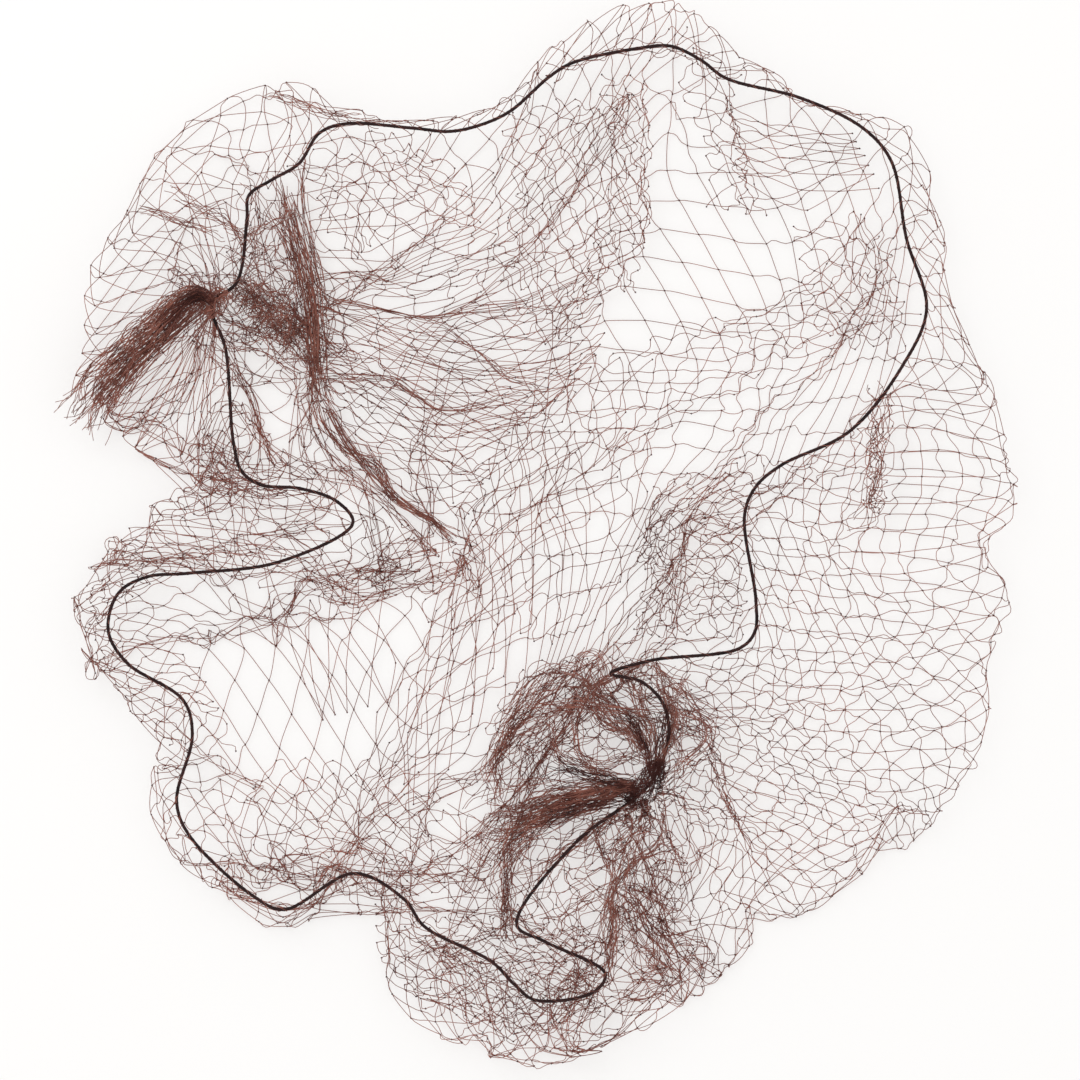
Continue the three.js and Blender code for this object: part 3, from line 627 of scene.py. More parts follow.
def thread_ways(knots, step):
    """The direction of the bars at each knot, from its two neighbours along one diagonal."""
    padded = np.pad(knots, ((1, 1), (1, 1), (0, 0)), mode="edge")
    if step > 0:
        way = padded[2:, 2:] - padded[:-2, :-2]
    else:
        way = padded[2:, :-2] - padded[:-2, 2:]
    return way / (np.linalg.norm(way, axis=-1, keepdims=True) + 1e-9)


def turned(ways, angle):
    """Directions, turned about the upright by an angle for each."""
    cos, sin = np.cos(angle), np.sin(angle)
    return np.stack([ways[..., 0] * cos - ways[..., 1] * sin, ways[..., 0] * sin + ways[..., 1] * cos,
                     ways[..., 2]], -1)


print("bars of the panel:", len(list_bars(crumpled.shape[:2])))

# %% [markdown]
# Bows. Every bar is given the same length of thread, whatever the gap between its knots is, so it bows
# where the knots are close and is straight where they are pulled apart. The slacker it is, the further
# its ends stray from the direction above. Seen from above, not all of the spare thread shows: the
# slacker the bar, the larger the part that goes into its bow, and some of the rest goes up or down. The
# bow's size is found by trying: the reach of its ends is halved in on until the length is the wanted one.

# %% The bars, as curves
BAR_STEPS = 5
TURN_OF_KNOT = 0.8
TURN_OF_END = 0.12
TURN_OF_SLACK = 0.4
IN_PLANE = (0.0, 1.1)
MOST_REACH = 1.7
EXTRA_REACH = 0.1
LIFT_SHARE = 0.35
LOWEST = 0.15
HIGHEST = 6.9
TRIES = 14


def bow(knots, places, draw):
    """A curve for each bar, which shows more of its spare thread the slacker it is."""
    start = knots[places[:, 0], places[:, 1]]
    end = knots[places[:, 2], places[:, 3]]
    long = np.linalg.norm(end - start, axis=-1)
    slack = np.clip(1 - long / BAR, 0, 1)
    twist = draw.normal(0, 1, knots.shape[:2])
    rising = (places[:, 3] > places[:, 1])[:, None]
    ways = []
    for column in (0, 2):
        cross, row = places[:, column], places[:, column + 1]
        way = np.where(rising, thread_ways(knots, 1)[cross, row], thread_ways(knots, -1)[cross, row])
        stray = draw.normal(0, 1, len(places)) * (TURN_OF_END + TURN_OF_SLACK * slack)
        ways.append(turned(way, twist[cross, row] * TURN_OF_KNOT * slack + stray)[:, None])
    t = np.linspace(0, 1, BAR_STEPS + 1)
    u = t[None, :, None]

    def curve_of(reach):
        reach = reach[:, None, None]
        return ((2 * u**3 - 3 * u**2 + 1) * start[:, None] + (3 * u**2 - 2 * u**3) * end[:, None]
                + reach * ((u**3 - 2 * u**2 + u) * ways[0] + (u**3 - u**2) * ways[1]))

    wanted = long + (BAR - long) * slack**2 * draw.uniform(*IN_PLANE, len(places))
    low, high = 0.5 * long, MOST_REACH * long + EXTRA_REACH * BAR
    for _ in range(TRIES):
        middle = (low + high) / 2
        length = np.linalg.norm(np.diff(curve_of(middle), axis=1), axis=-1).sum(axis=1)
        low, high = np.where(length < wanted, middle, low), np.where(length < wanted, high, middle)
    curve = curve_of(low)
    lift = draw.uniform(-1, 1, len(places)) * LIFT_SHARE * BAR * slack
    curve[..., 2] += lift[:, None] * np.sin(math.pi * t)
    curve[..., 2] = np.clip(np.abs(curve[..., 2] - LOWEST) + LOWEST, LOWEST, HIGHEST)
    return curve


knots = np.concatenate([crumpled, height[..., None]], axis=-1)
knots[:, [0, -1], 2] = ELASTIC_HEIGHT
knots[[0, -1], :, 2] = ELASTIC_HEIGHT
bars = bow(knots, list_bars(knots.shape[:2]), np.random.default_rng(SEED + 1))
spans = np.linalg.norm(bars[:, -1] - bars[:, 0], axis=-1) / BAR
print("span of the bars over their thread:", np.percentile(spans, [5, 25, 50, 75, 95]).round(2))

# %% [markdown]
# The second and third layers. In many places the panel has folded over itself more than once, which the
# guide above can't show. Each row of the table is such a fold, laid on its own: lines of points from one
# end of the fold to the other, the number of steps along and across, and how loosely it lies. On the
# real net they are all one cloth. Here they are small panels of the same netting.

# %% The folds that lie over the panel
# name, steps along, steps across, looseness in mm, height, lines of points
PATCHES = [
    ("strands_upper", 9, 22, 0.8, 2.2, [
        [(-37, 39), (-29, 36), (-18, 34), (-7, 34), (2, 37), (9, 42)],
        [(-37, 34), (-28, 32), (-17, 29), (-6, 28), (3, 30), (9, 34)],
        [(-36, 29), (-28, 27), (-18, 24), (-8, 22), (1, 23), (7, 27)],
        [(-36, 24), (-28, 21), (-20, 17), (-12, 15), (-4, 16), (1, 19)]]),
    ("strands_lower", 9, 21, 0.8, 2.6, [
        [(-37, 31), (-29, 28), (-20, 25), (-10, 22), (-1, 22)],
        [(-36, 26), (-30, 22), (-21, 18), (-13, 15), (-4, 15)],
        [(-36, 21), (-30, 16), (-23, 12), (-15, 9), (-8, 10)],
        [(-34, 17), (-30, 12), (-24, 7), (-18, 4), (-12, 3)]]),
    ("strands_cross", 8, 7, 1.3, 1.6, [
        [(-34, 37), (-31, 31), (-26, 23), (-22, 15), (-15, 5)],
        [(-23, 35), (-20, 29), (-16, 22), (-12, 15), (-8, 8)],
        [(-10, 35), (-8, 29), (-6, 23), (-3, 17), (-1, 13)],
        [(2, 37), (3, 32), (4, 28), (4, 24), (4, 20)]]),
    ("lobe_first", 11, 15, 1.4, 2.0, [
        [(-6, 67), (2, 71), (10, 72), (16, 70)],
        [(-7, 60), (2, 62), (10, 63), (16, 61)],
        [(-8, 51), (1, 52), (10, 52), (15, 51)],
        [(-10, 42), (-2, 41), (7, 41), (11, 42)],
        [(-12, 34), (-4, 31), (2, 31), (8, 34)]]),
    ("lobe_second", 10, 14, 1.6, 3.0, [
        [(2, 69), (9, 70), (14, 70), (16, 68)],
        [(-4, 61), (2, 62), (9, 61), (15, 60)],
        [(-7, 53), (0, 52), (8, 51), (14, 50)],
        [(-8, 44), (-1, 43), (6, 41), (11, 41)],
        [(-7, 37), (-2, 35), (2, 34), (7, 35)]]),
    ("low_first", 16, 8, 1.2, 3.0, [
        [(-57, -43), (-47, -40), (-38, -38), (-28, -38), (-18, -40)],
        [(-54, -51), (-46, -48), (-36, -46), (-26, -46), (-17, -48)],
        [(-47, -58), (-41, -56), (-34, -52), (-25, -54), (-17, -56)]]),
    ("low_second", 15, 7, 1.3, 2.0, [
        [(-49, -43), (-39, -40), (-30, -40), (-20, -43), (-12, -46)],
        [(-47, -50), (-38, -47), (-28, -48), (-18, -51), (-10, -54)],
        [(-41, -56), (-34, -53), (-26, -54), (-18, -59), (-10, -62)]]),
    ("bottom_first", 18, 13, 1.2, 3.0, [
        [(-26, -59), (-18, -60), (-10, -61), (-1, -64), (7, -64)],
        [(-26, -67), (-18, -68), (-10, -69), (-1, -71), (9, -70)],
        [(-23, -75), (-17, -77), (-9, -80), (-1, -81), (9, -77)]]),
    ("bottom_second", 16, 10, 1.3, 4.5, [
        [(-20, -62), (-14, -65), (-7, -68), (-1, -69), (7, -68)],
        [(-18, -68), (-12, -72), (-6, -75), (1, -76), (9, -72)],
        [(-15, -75), (-9, -77), (-4, -80), (2, -80), (9, -75)]]),
    ("bottom_fourth", 12, 9, 1.2, 2.4, [
        [(-22, -63), (-10, -65), (-1, -67), (9, -66), (17, -64)],
        [(-22, -71), (-10, -72), (-1, -73), (9, -73), (18, -71)],
        [(-18, -77), (-7, -81), (2, -82), (12, -80), (20, -75)]]),
    ("bottom_third", 13, 9, 1.2, 2.2, [
        [(-7, -59), (-1, -62), (6, -64), (12, -64)],
        [(-9, -67), (-1, -68), (7, -69), (15, -69)],
        [(-7, -76), (1, -78), (9, -77), (15, -76)]]),
    ("centre_first", 11, 11, 1.3, 1.8, [
        [(-4, 15), (2, 16), (10, 16), (17, 15)],
        [(-9, 5), (-1, 7), (7, 5), (15, 2)],
        [(-15, -4), (-6, -4), (2, -6), (10, -9)],
        [(-20, -14), (-12, -16), (-4, -17), (2, -19)]]),
    ("diagonal_band", 18, 8, 1.2, 1.4, [
        [(2, 32), (-4, 21), (-11, 10), (-14, -1), (-18, -12), (-23, -25), (-27, -38)],
        [(9, 29), (2, 18), (-4, 7), (-9, -4), (-14, -17), (-19, -28), (-24, -41)],
        [(17, 26), (10, 15), (4, 2), (-2, -9), (-9, -22), (-15, -33), (-21, -46)]]),
    ("diagonal_second", 14, 6, 1.4, 1.2, [
        [(-4, 18), (-9, 8), (-13, -3), (-17, -17), (-22, -32), (-28, -43)],
        [(2, 15), (-2, 5), (-7, -8), (-13, -20), (-19, -35), (-24, -46)],
        [(9, 10), (4, -1), (-1, -12), (-7, -25), (-15, -38), (-20, -49)]]),
    ("upper_left_hang", 13, 9, 1.4, 3.5, [
        [(-41, 59), (-34, 62), (-28, 64), (-22, 63), (-15, 62)],
        [(-36, 52), (-31, 54), (-25, 55), (-20, 55), (-14, 56)],
        [(-33, 43), (-28, 45), (-23, 48), (-17, 49), (-13, 51)]]),
    ("upper_left_veil", 7, 10, 1.2, 1.4, [
        [(-38, 60), (-28, 60), (-18, 58), (-9, 61)],
        [(-37, 53), (-28, 52), (-18, 50), (-10, 53)],
        [(-36, 47), (-28, 43), (-20, 42), (-10, 45)],
        [(-36, 40), (-28, 38), (-18, 37), (-10, 39)]]),
    ("notch", 11, 6, 1.2, 3.0, [
        [(-32, 4), (-26, 2), (-20, -1), (-14, -1)],
        [(-39, -4), (-32, -4), (-25, -4), (-17, -4)],
        [(-52, -9), (-42, -9), (-33, -9), (-22, -9)]]),
    ("right_mass", 11, 18, 1.3, 1.8, [
        [(18, 7), (23, 9), (30, 10), (34, 12)],
        [(16, -1), (20, 0), (26, 1), (32, 2)],
        [(15, -9), (19, -8), (25, -8), (32, -8)],
        [(17, -17), (22, -17), (26, -16), (32, -16)]]),
    ("right_mass_second", 10, 14, 1.3, 3.0, [
        [(20, 5), (25, 8), (31, 11)],
        [(17, -4), (23, -3), (31, -1)],
        [(16, -17), (23, -16), (31, -14)]]),
    ("right_clump", 5, 15, 0.9, 5.4, [
        [(51, 22), (54, 23), (57, 22)],
        [(51, 15), (53, 15), (56, 15)],
        [(51, 8), (53, 8), (55, 7)],
        [(51, 3), (52, 3), (53, 3)]]),
    ("upper_rim", 8, 4, 1.2, 5.4, [
        [(2, 75), (9, 78), (17, 80), (25, 78)],
        [(2, 72), (10, 74), (18, 76), (27, 73)]]),
    ("web_first", 8, 11, 0.9, 2.4, [
        [(-48, 52), (-45, 53), (-42, 52), (-40, 51)],
        [(-50, 45), (-46, 45), (-42, 44), (-38, 43)],
        [(-53, 37), (-48, 37), (-42, 37), (-37, 36)],
        [(-51, 30), (-46, 31), (-41, 30), (-37, 28)]]),
    ("web_second", 9, 9, 0.9, 3.6, [
        [(-49, 48), (-45, 49), (-41, 48), (-38, 45)],
        [(-52, 40), (-47, 41), (-41, 40), (-37, 39)],
        [(-52, 33), (-47, 33), (-42, 33), (-37, 31)],
        [(-49, 29), (-45, 29), (-40, 27), (-36, 24)]]),
    ("bubble_first", 14, 10, 0.9, 3.0, [
        [(-6, -25), (-1, -21), (7, -19), (15, -21), (23, -25)],
        [(-8, -30), (-1, -28), (7, -27), (16, -28), (27, -29)],
        [(-9, -36), (-2, -34), (6, -33), (15, -34), (25, -34)],
        [(-9, -42), (-2, -41), (5, -40), (12, -40), (19, -40)]]),
    ("bubble_second", 13, 9, 0.9, 4.6, [
        [(-5, -27), (2, -22), (8, -20), (15, -22), (22, -25)],
        [(-7, -32), (1, -29), (8, -28), (16, -29), (25, -31)],
        [(-7, -40), (0, -37), (7, -36), (14, -36), (23, -36)]]),
    ("bubble_third", 9, 7, 0.9, 3.8, [
        [(-1, -25), (6, -22), (12, -22), (18, -24)],
        [(-2, -32), (5, -31), (12, -30), (19, -31)],
        [(-2, -39), (5, -38), (12, -38), (17, -38)]]),
    ("wedge_web", 9, 7, 0.9, 2.6, [
        [(15, -42), (9, -41), (3, -42), (-4, -44)],
        [(15, -43), (9, -44), (4, -46), (-4, -49)],
        [(14, -44), (10, -47), (5, -51), (-1, -54)]]),
    ("outer_web", 5, 8, 1.0, 4.6, [
        [(15, -44), (18, -44), (20, -45)],
        [(6, -51), (11, -51), (18, -51)],
        [(2, -57), (9, -56), (15, -57)],
        [(6, -65), (10, -65), (15, -64)]]),
    ("lower_web", 4, 9, 0.9, 2.2, [
        [(-5, -47), (-2, -48), (1, -48)],
        [(-7, -52), (-5, -53), (-1, -53)],
        [(-8, -59), (-6, -60), (-2, -60)],
        [(-8, -65), (-5, -65), (-2, -66)]]),
    ("tuft_web", 8, 6, 0.8, 7.4, [
        [(-56, 39), (-62, 36), (-67, 31), (-72, 26)],
        [(-55, 37), (-60, 33), (-65, 28), (-70, 22)],
        [(-53, 35), (-58, 30), (-63, 25), (-67, 20)]]),
    ("upper_right_clump", 6, 14, 1.2, 4.0, [
        [(23, 75), (27, 74), (32, 72)],
        [(24, 68), (28, 68), (32, 66)],
        [(26, 61), (30, 60), (33, 58)],
        [(27, 54), (31, 52), (35, 51)]]),
    ("rim_left", 18, 6, 1.2, 5.0, [
        [(-72, -12), (-71, -18), (-69, -25), (-64, -30), (-59, -34)],
        [(-69, -10), (-68, -18), (-63, -24), (-58, -28), (-55, -34)],
        [(-63, -10), (-61, -17), (-56, -22), (-52, -27), (-49, -35)]]),
    ("rim_notch", 15, 6, 1.2, 5.2, [
        [(-72, -9), (-70, -4), (-64, 0), (-57, 5)],
        [(-71, -11), (-65, -5), (-58, -3), (-50, 0)],
        [(-66, -12), (-59, -8), (-50, -6), (-41, -4)]]),
    ("lobe_edge", 6, 18, 1.0, 3.4, [
        [(10, 72), (14, 71), (17, 69)],
        [(11, 61), (14, 61), (17, 60)],
        [(10, 50), (13, 50), (16, 48)],
        [(7, 40), (10, 39), (12, 38)]]),
    ("upper_right_band", 20, 8, 1.5, 1.8, [
        [(3, 22), (12, 28), (23, 34), (34, 39), (46, 45), (54, 51)],
        [(7, 17), (16, 23), (26, 29), (37, 33), (48, 37), (57, 43)],
        [(11, 11), (20, 19), (29, 23), (38, 27), (49, 29), (59, 34)]]),
    ("low_hang", 10, 3, 1.0, 1.4, [
        [(-46, -10), (-40, -10), (-33, -9), (-25, -7)],
        [(-41, -21), (-36, -20), (-31, -19), (-24, -17)],
        [(-36, -33), (-32, -32), (-29, -30), (-24, -28)]]),
    ("upper_right_level", 4, 12, 0.6, 2.4, [
        [(30, 67), (36, 66), (43, 65), (49, 64)],
        [(31, 61), (37, 60), (44, 60), (51, 60)],
        [(32, 53), (39, 52), (46, 53), (54, 54)]]),
    ("right_inner", 8, 11, 1.1, 2.4, [
        [(41, 50), (46, 51), (51, 50), (55, 48)],
        [(41, 40), (47, 40), (52, 40), (57, 39)],
        [(43, 31), (48, 30), (53, 29), (57, 29)]]),
]
print("folds over the panel:", len(PATCHES))

# %% [markdown]
# Each of these folds is made by the steps that made the panel: smooth curves both ways through its
# points, a random move for each knot, bars that pull, and bows. Its knots are kept within the outline,
# and their heights rise and fall a little, so that the layers don't lie on one level.

# %% Lay the folds over the panel
PATCH_SEED = 100
PATCH_ROUNDS = 60
STRAY_CELLS = (6, 3)
FINE_STRAY = 0.6
KNOT_STRAY = 0.12
HILL = 0.6
HILL_CELLS = (3, 3)
LOWEST_KNOT = 0.4


def lay_patch(lines, along, across):
    """The knots of a patch whose guide lines all have the same number of points."""
    lines = np.array(lines, float)
    ends = np.linspace(0, 1, lines.shape[1])
    rows = [through(np.linspace(0, 1, along + 1), ends, line) for line in lines]
    sides = np.linspace(0, 1, len(lines))
    return np.stack([through(np.linspace(0, 1, across + 1), sides, np.array(points))
                     for points in zip(*rows)])


def loosen(smooth, loose, draw):
    """A patch's knots, strayed by about as many millimetres as it is loose."""
    shape = smooth.shape[:2]
    cells = [(max(2, shape[0] // size), max(2, shape[1] // size)) for size in STRAY_CELLS]
    stray = smooth_noise(shape, cells[0], draw) + FINE_STRAY * smooth_noise(shape, cells[1], draw)
    wanted = smooth + loose * stray
    wanted += KNOT_STRAY * loose * draw.standard_normal(smooth.shape)
    knots, levels = wanted.copy(), np.zeros(shape)
    for _ in range(PATCH_ROUNDS):
        knots += pull_on(knots, levels) + (wanted - knots) * HOLD
    out = is_outside(knots, outline_loop)
    place, _ = nearest_on(closed_up(outline_loop), knots[out])
    knots[out] = place
    return knots


patch_knots = []
patch_bars = []
for order, (name, along, across, loose, level, lines) in enumerate(PATCHES):
    draw = np.random.default_rng(SEED + PATCH_SEED + order)
    flat = loosen(lay_patch(lines, along, across), loose, draw)
    hill = level + HILL * smooth_noise(flat.shape[:2], HILL_CELLS, draw)[..., :1]
    patch = np.concatenate([flat, np.clip(hill, LOWEST_KNOT, HIGHEST)], axis=-1)
    patch_bars.append(bow(patch, list_bars(patch.shape[:2]), draw))
    patch_knots.append(patch[knot_mask(patch.shape[:2])])
print("bars of these folds:", sum(len(group) for group in patch_bars))

# %% [markdown]
# Threads as tubes. A curve object with a bevel would do for one thread, but thousands of them are
# quicker and lighter as one mesh: a small ring of points at every step of every thread, joined by
# quads and closed at both ends. Three sides are enough for a thread that is narrower than a pixel of the
# photo, which is 0.16 mm wide.

# %% A helper that makes one mesh out of many threads
def tube_mesh(name, lines, radius, sides, closed=False):
    """One object: a tube round each line. Lines share a number of points, radius may be one for each."""
    lines = np.asarray(lines, float)
    count, steps = lines.shape[:2]
    if closed:
        tangent = np.roll(lines, -1, axis=1) - np.roll(lines, 1, axis=1)
    else:
        tangent = np.gradient(lines, axis=1)
    tangent /= np.linalg.norm(tangent, axis=-1, keepdims=True) + 1e-12
    sideways = np.cross(tangent, [0.0, 0.0, 1.0])
    flat = np.linalg.norm(sideways, axis=-1, keepdims=True)
    sideways = np.where(flat > 1e-3, sideways / (flat + 1e-12), [1.0, 0.0, 0.0])
    upward = np.cross(sideways, tangent)
    angle = np.arange(sides) * 2 * math.pi / sides + math.pi / 2
    radius = np.broadcast_to(np.asarray(radius, float), (count, steps))[..., None, None]
    rings = lines[:, :, None] + radius * (
        sideways[:, :, None] * np.cos(angle)[None, None, :, None]
        + upward[:, :, None] * np.sin(angle)[None, None, :, None])
    first = (np.arange(count) * steps * sides)[:, None, None]
    ring = (np.arange(steps if closed else steps - 1) * sides)[None, :, None]
    corner = np.arange(sides)[None, None, :]
    after = (corner + 1) % sides
    beyond = (ring + sides) % (steps * sides)
    quads = np.stack([first + ring + corner, first + beyond + corner, first + beyond + after,
                      first + ring + after], -1).reshape(-1, 4)
    faces = quads.tolist()
    if not closed:
        last = (steps - 1) * sides
        faces += (first[:, :, 0] + np.arange(sides)).tolist()
        faces += (first[:, :, 0] + last + np.arange(sides)[::-1]).tolist()
    mesh = bpy.data.meshes.new(name)
    mesh.from_pydata((rings.reshape(-1, 3) * MM).tolist(), [], faces)
    mesh.shade_smooth()
    piece = bpy.data.objects.new(name, mesh)
    bpy.context.scene.collection.objects.link(piece)
    print(name, "faces:", len(faces))
    return piece


# %% [markdown]
# The finish of thread. Nylon thread is dyed reddish brown, a little uneven, and is only dimly shiny.
# Five materials share that, so it is a node group: two colours mixed by a soft noise, and a roughness
# and a fine bump that follow a finer one. Each material places the group with its own values.

# %% The shared group for dyed thread
COLOUR_SPREAD = (0.3, 0.7)
ROUGHNESS = (0.42, 0.68)
BUMP_DEPTH = 0.02


def dyed_thread_group():
    """A node group that gives a thread's uneven colour, its roughness and a fine bump."""
    group = bpy.data.node_groups.new("dyed_thread", "ShaderNodeTree")
    face = group.interface
    for name, kind, value in (("Pale", "NodeSocketColor", (0.3, 0.1, 0.07, 1.0)),
                              ("Deep", "NodeSocketColor", (0.1, 0.03, 0.02, 1.0)),
                              ("Patches a metre", "NodeSocketFloat", 300.0),
                              ("Fibres a metre", "NodeSocketFloat", 6000.0),
                              ("Bump", "NodeSocketFloat", 0.3)):
        socket = face.new_socket(name, in_out="INPUT", socket_type=kind)
        socket.default_value = value
    face.new_socket("Color", in_out="OUTPUT", socket_type="NodeSocketColor")
    face.new_socket("Roughness", in_out="OUTPUT", socket_type="NodeSocketFloat")
    face.new_socket("Normal", in_out="OUTPUT", socket_type="NodeSocketVector")
    nodes, links = group.nodes, group.links
    given = nodes.new("NodeGroupInput")
    result = nodes.new("NodeGroupOutput")
    place = nodes.new("ShaderNodeTexCoord")
    patches = nodes.new("ShaderNodeTexNoise")
    fibres = nodes.new("ShaderNodeTexNoise")
    mix = nodes.new("ShaderNodeMix")
    mix.data_type = "RGBA"
    spread = nodes.new("ShaderNodeMapRange")
    spread.inputs["From Min"].default_value = COLOUR_SPREAD[0]
    spread.inputs["From Max"].default_value = COLOUR_SPREAD[1]
    rough = nodes.new("ShaderNodeMapRange")
    rough.inputs["To Min"].default_value = ROUGHNESS[0]
    rough.inputs["To Max"].default_value = ROUGHNESS[1]
    bump = nodes.new("ShaderNodeBump")
    bump.inputs["Distance"].default_value = BUMP_DEPTH * MM
    links.new(place.outputs["Object"], patches.inputs["Vector"])
    links.new(place.outputs["Object"], fibres.inputs["Vector"])
    links.new(given.outputs["Patches a metre"], patches.inputs["Scale"])
    links.new(given.outputs["Fibres a metre"], fibres.inputs["Scale"])
    links.new(patches.outputs["Fac"], spread.inputs["Value"])
    links.new(spread.outputs["Result"], mix.inputs["Factor"])
    links.new(given.outputs["Pale"], mix.inputs["A"])
    links.new(given.outputs["Deep"], mix.inputs["B"])
    links.new(fibres.outputs["Fac"], rough.inputs["Value"])
    links.new(fibres.outputs["Fac"], bump.inputs["Height"])
    links.new(given.outputs["Bump"], bump.inputs["Strength"])
    links.new(mix.outputs["Result"], result.inputs["Color"])
    links.new(rough.outputs["Result"], result.inputs["Roughness"])
    links.new(bump.outputs["Normal"], result.inputs["Normal"])
    return group


dyed_thread = dyed_thread_group()
sockets = dyed_thread.interface.items_tree
print("inputs of the group:", [socket.name for socket in sockets if socket.in_out == "INPUT"])

# %% [markdown]
# Five finishes. The netting, its knots, the bundles, the dark ties and the covering of the elastic are
# the same kind of thread, and differ in their two colours and in how large the patches of them are.
# Knots and ties are darker because thread lies there on thread and little light comes between.

# %% The finishes of thread
SPECULAR = 0.15


def thread_finish(name, pale, deep, patches):
    """A material of dyed thread, between two colours."""
    material = bpy.data.materials.new(name)
    material.use_nodes = True
    tree = material.node_tree
    surface = tree.nodes["Principled BSDF"]
    tone = tree.nodes.new("ShaderNodeGroup")
    tone.node_tree = dyed_thread
    tone.inputs["Pale"].default_value = (*pale, 1.0)
    tone.inputs["Deep"].default_value = (*deep, 1.0)
    tone.inputs["Patches a metre"].default_value = patches
    tree.links.new(tone.outputs["Color"], surface.inputs["Base Color"])
    tree.links.new(tone.outputs["Roughness"], surface.inputs["Roughness"])
    tree.links.new(tone.outputs["Normal"], surface.inputs["Normal"])
    surface.inputs["Specular IOR Level"].default_value = SPECULAR
    return material


net_finish = thread_finish("net_thread", (0.40, 0.155, 0.115), (0.20, 0.070, 0.052), 90.0)
knot_finish = thread_finish("knot_thread", (0.12, 0.045, 0.04), (0.05, 0.018, 0.016), 200.0)
bundle_finish = thread_finish("bundled_thread", (0.42, 0.17, 0.125), (0.17, 0.058, 0.043), 420.0)
tie_finish = thread_finish("tied_thread", (0.12, 0.036, 0.028), (0.025, 0.008, 0.007), 300.0)
cord_finish = thread_finish("elastic_cover", (0.035, 0.012, 0.011), (0.010, 0.004, 0.004), 500.0)
finishes = (net_finish, knot_finish, bundle_finish, tie_finish, cord_finish)
print("finishes:", [finish.name for finish in finishes])

# %% [markdown]
# The netting itself. The bars are sorted into those that lie on the table and those of the fold and
# the top layer, because the two replace different solids. The folds over the panel are a third piece.

# %% Make the netting
THREAD = 0.13
THREAD_SIDES = 3

bar_height = bars[:, [0, -1], 2].mean(axis=1)
on_table = bar_height < BETWEEN_LAYERS
net_pieces = []
for name, lines in (("netting_on_table", bars[on_table]), ("netting_of_rim", bars[~on_table]),
                    ("netting_of_folds", np.concatenate(patch_bars))):
    piece = tube_mesh(name, lines, THREAD / 2, THREAD_SIDES)
    piece.data.materials.append(net_finish)
    net_pieces.append(piece)

# %% [markdown]
# Knots. A knot in such thin thread is a dark lump about three threads wide. Small spheres would do, but
# eight flat sides are enough at this size, and thousands of them stay one light mesh.

# %% Make the knots
KNOT = 0.40
LUMP_SHAPE = (1, 0.8, 0.8)


def knot_mesh(name, places, size, draw):
    """A small eight-sided lump at each place, turned at random."""
    corners = np.array([(1, 0, 0), (-1, 0, 0), (0, 1, 0), (0, -1, 0), (0, 0, 1), (0, 0, -1)], float)
    sides = np.array([(0, 2, 4), (2, 1, 4), (1, 3, 4), (3, 0, 4),
                      (2, 0, 5), (1, 2, 5), (3, 1, 5), (0, 3, 5)])
    lumps = np.broadcast_to(corners * size / 2 * LUMP_SHAPE, (len(places), *corners.shape))
    lumps = turned(lumps, draw.uniform(0, math.pi, len(places))[:, None])
    points = (places[:, None] + lumps).reshape(-1, 3)
    faces = (np.arange(len(places))[:, None, None] * len(corners) + sides[None]).reshape(-1, 3)
    mesh = bpy.data.meshes.new(name)
    mesh.from_pydata((points * MM).tolist(), [], faces.tolist())
    mesh.shade_smooth()
    piece = bpy.data.objects.new(name, mesh)
    bpy.context.scene.collection.objects.link(piece)
    print(name, "knots:", len(places))
    return piece


is_knot = knot_mask(knots.shape[:2])
is_knot[[0, -1]] = False
knot_places = knots[is_knot]
low_knots = knot_places[:, 2] < BETWEEN_LAYERS
for name, places in (("knots_on_table", knot_places[low_knots]), ("knots_of_rim", knot_places[~low_knots]),
                     ("knots_of_folds", np.concatenate(patch_knots))):
    places[:, 2] = np.maximum(places[:, 2], KNOT / 2)
    piece = knot_mesh(name, places, KNOT, np.random.default_rng(SEED + 2))
    piece.data.materials.append(knot_finish)
    net_pieces.append(piece)

# %% [markdown]
# The elastic. It is a thin dark cord, about four times as thick as the thread of the net, and runs round
# the mouth as one closed loop. A curve object with a bevel could be its tube. The helper above makes it
# like the threads, from points at even distances along the loop.

# %% Make the elastic cord
CORD = 0.52
CORD_STEPS = 1400
CORD_SIDES = 12


def even_loop(loop, steps):
    """A closed loop read at even distances."""
    closed = closed_up(loop)
    along = length_along(closed)
    at = np.linspace(0, along[-1], steps, endpoint=False)
    return np.stack([np.interp(at, along, closed[:, axis]) for axis in (0, 1)], -1)


def at_height(line, level):
    """A flat line of points, raised to a height."""
    return np.concatenate([line, np.full((len(line), 1), level)], axis=1)


cord_line = at_height(even_loop(elastic_loop, CORD_STEPS), ELASTIC_HEIGHT)
cord = tube_mesh("elastic_cord", cord_line[None], CORD / 2, CORD_SIDES, closed=True)
cord.data.materials.append(cord_finish)

# %% [markdown]
# Its covering. Such elastic has a covering of dark thread wound round it, and the net's edge is whipped
# to it with redder thread. Two helices in opposite senses give both. A bump could fake them, but real
# helices also show at the cord's outline and are part of the mesh.

# %% Wind the covering and the whipping round it
WINDING = 0.10
WINDING_TURNS = 330
WINDING_STEPS = 10


def winding_line(turns, sense):
    """A closed helix round the elastic."""
    steps = turns * WINDING_STEPS
    middle = even_loop(elastic_loop, steps)
    tangent = np.roll(middle, -1, axis=0) - np.roll(middle, 1, axis=0)
    tangent /= np.linalg.norm(tangent, axis=1, keepdims=True)
    sideways = np.stack([tangent[:, 1], -tangent[:, 0]], -1)
    angle = sense * np.arange(steps) * 2 * math.pi / WINDING_STEPS
    reach = CORD / 2
    flat = middle + sideways * (reach * np.cos(angle))[:, None]
    return np.concatenate([flat, (ELASTIC_HEIGHT + reach * np.sin(angle))[:, None]], axis=1)


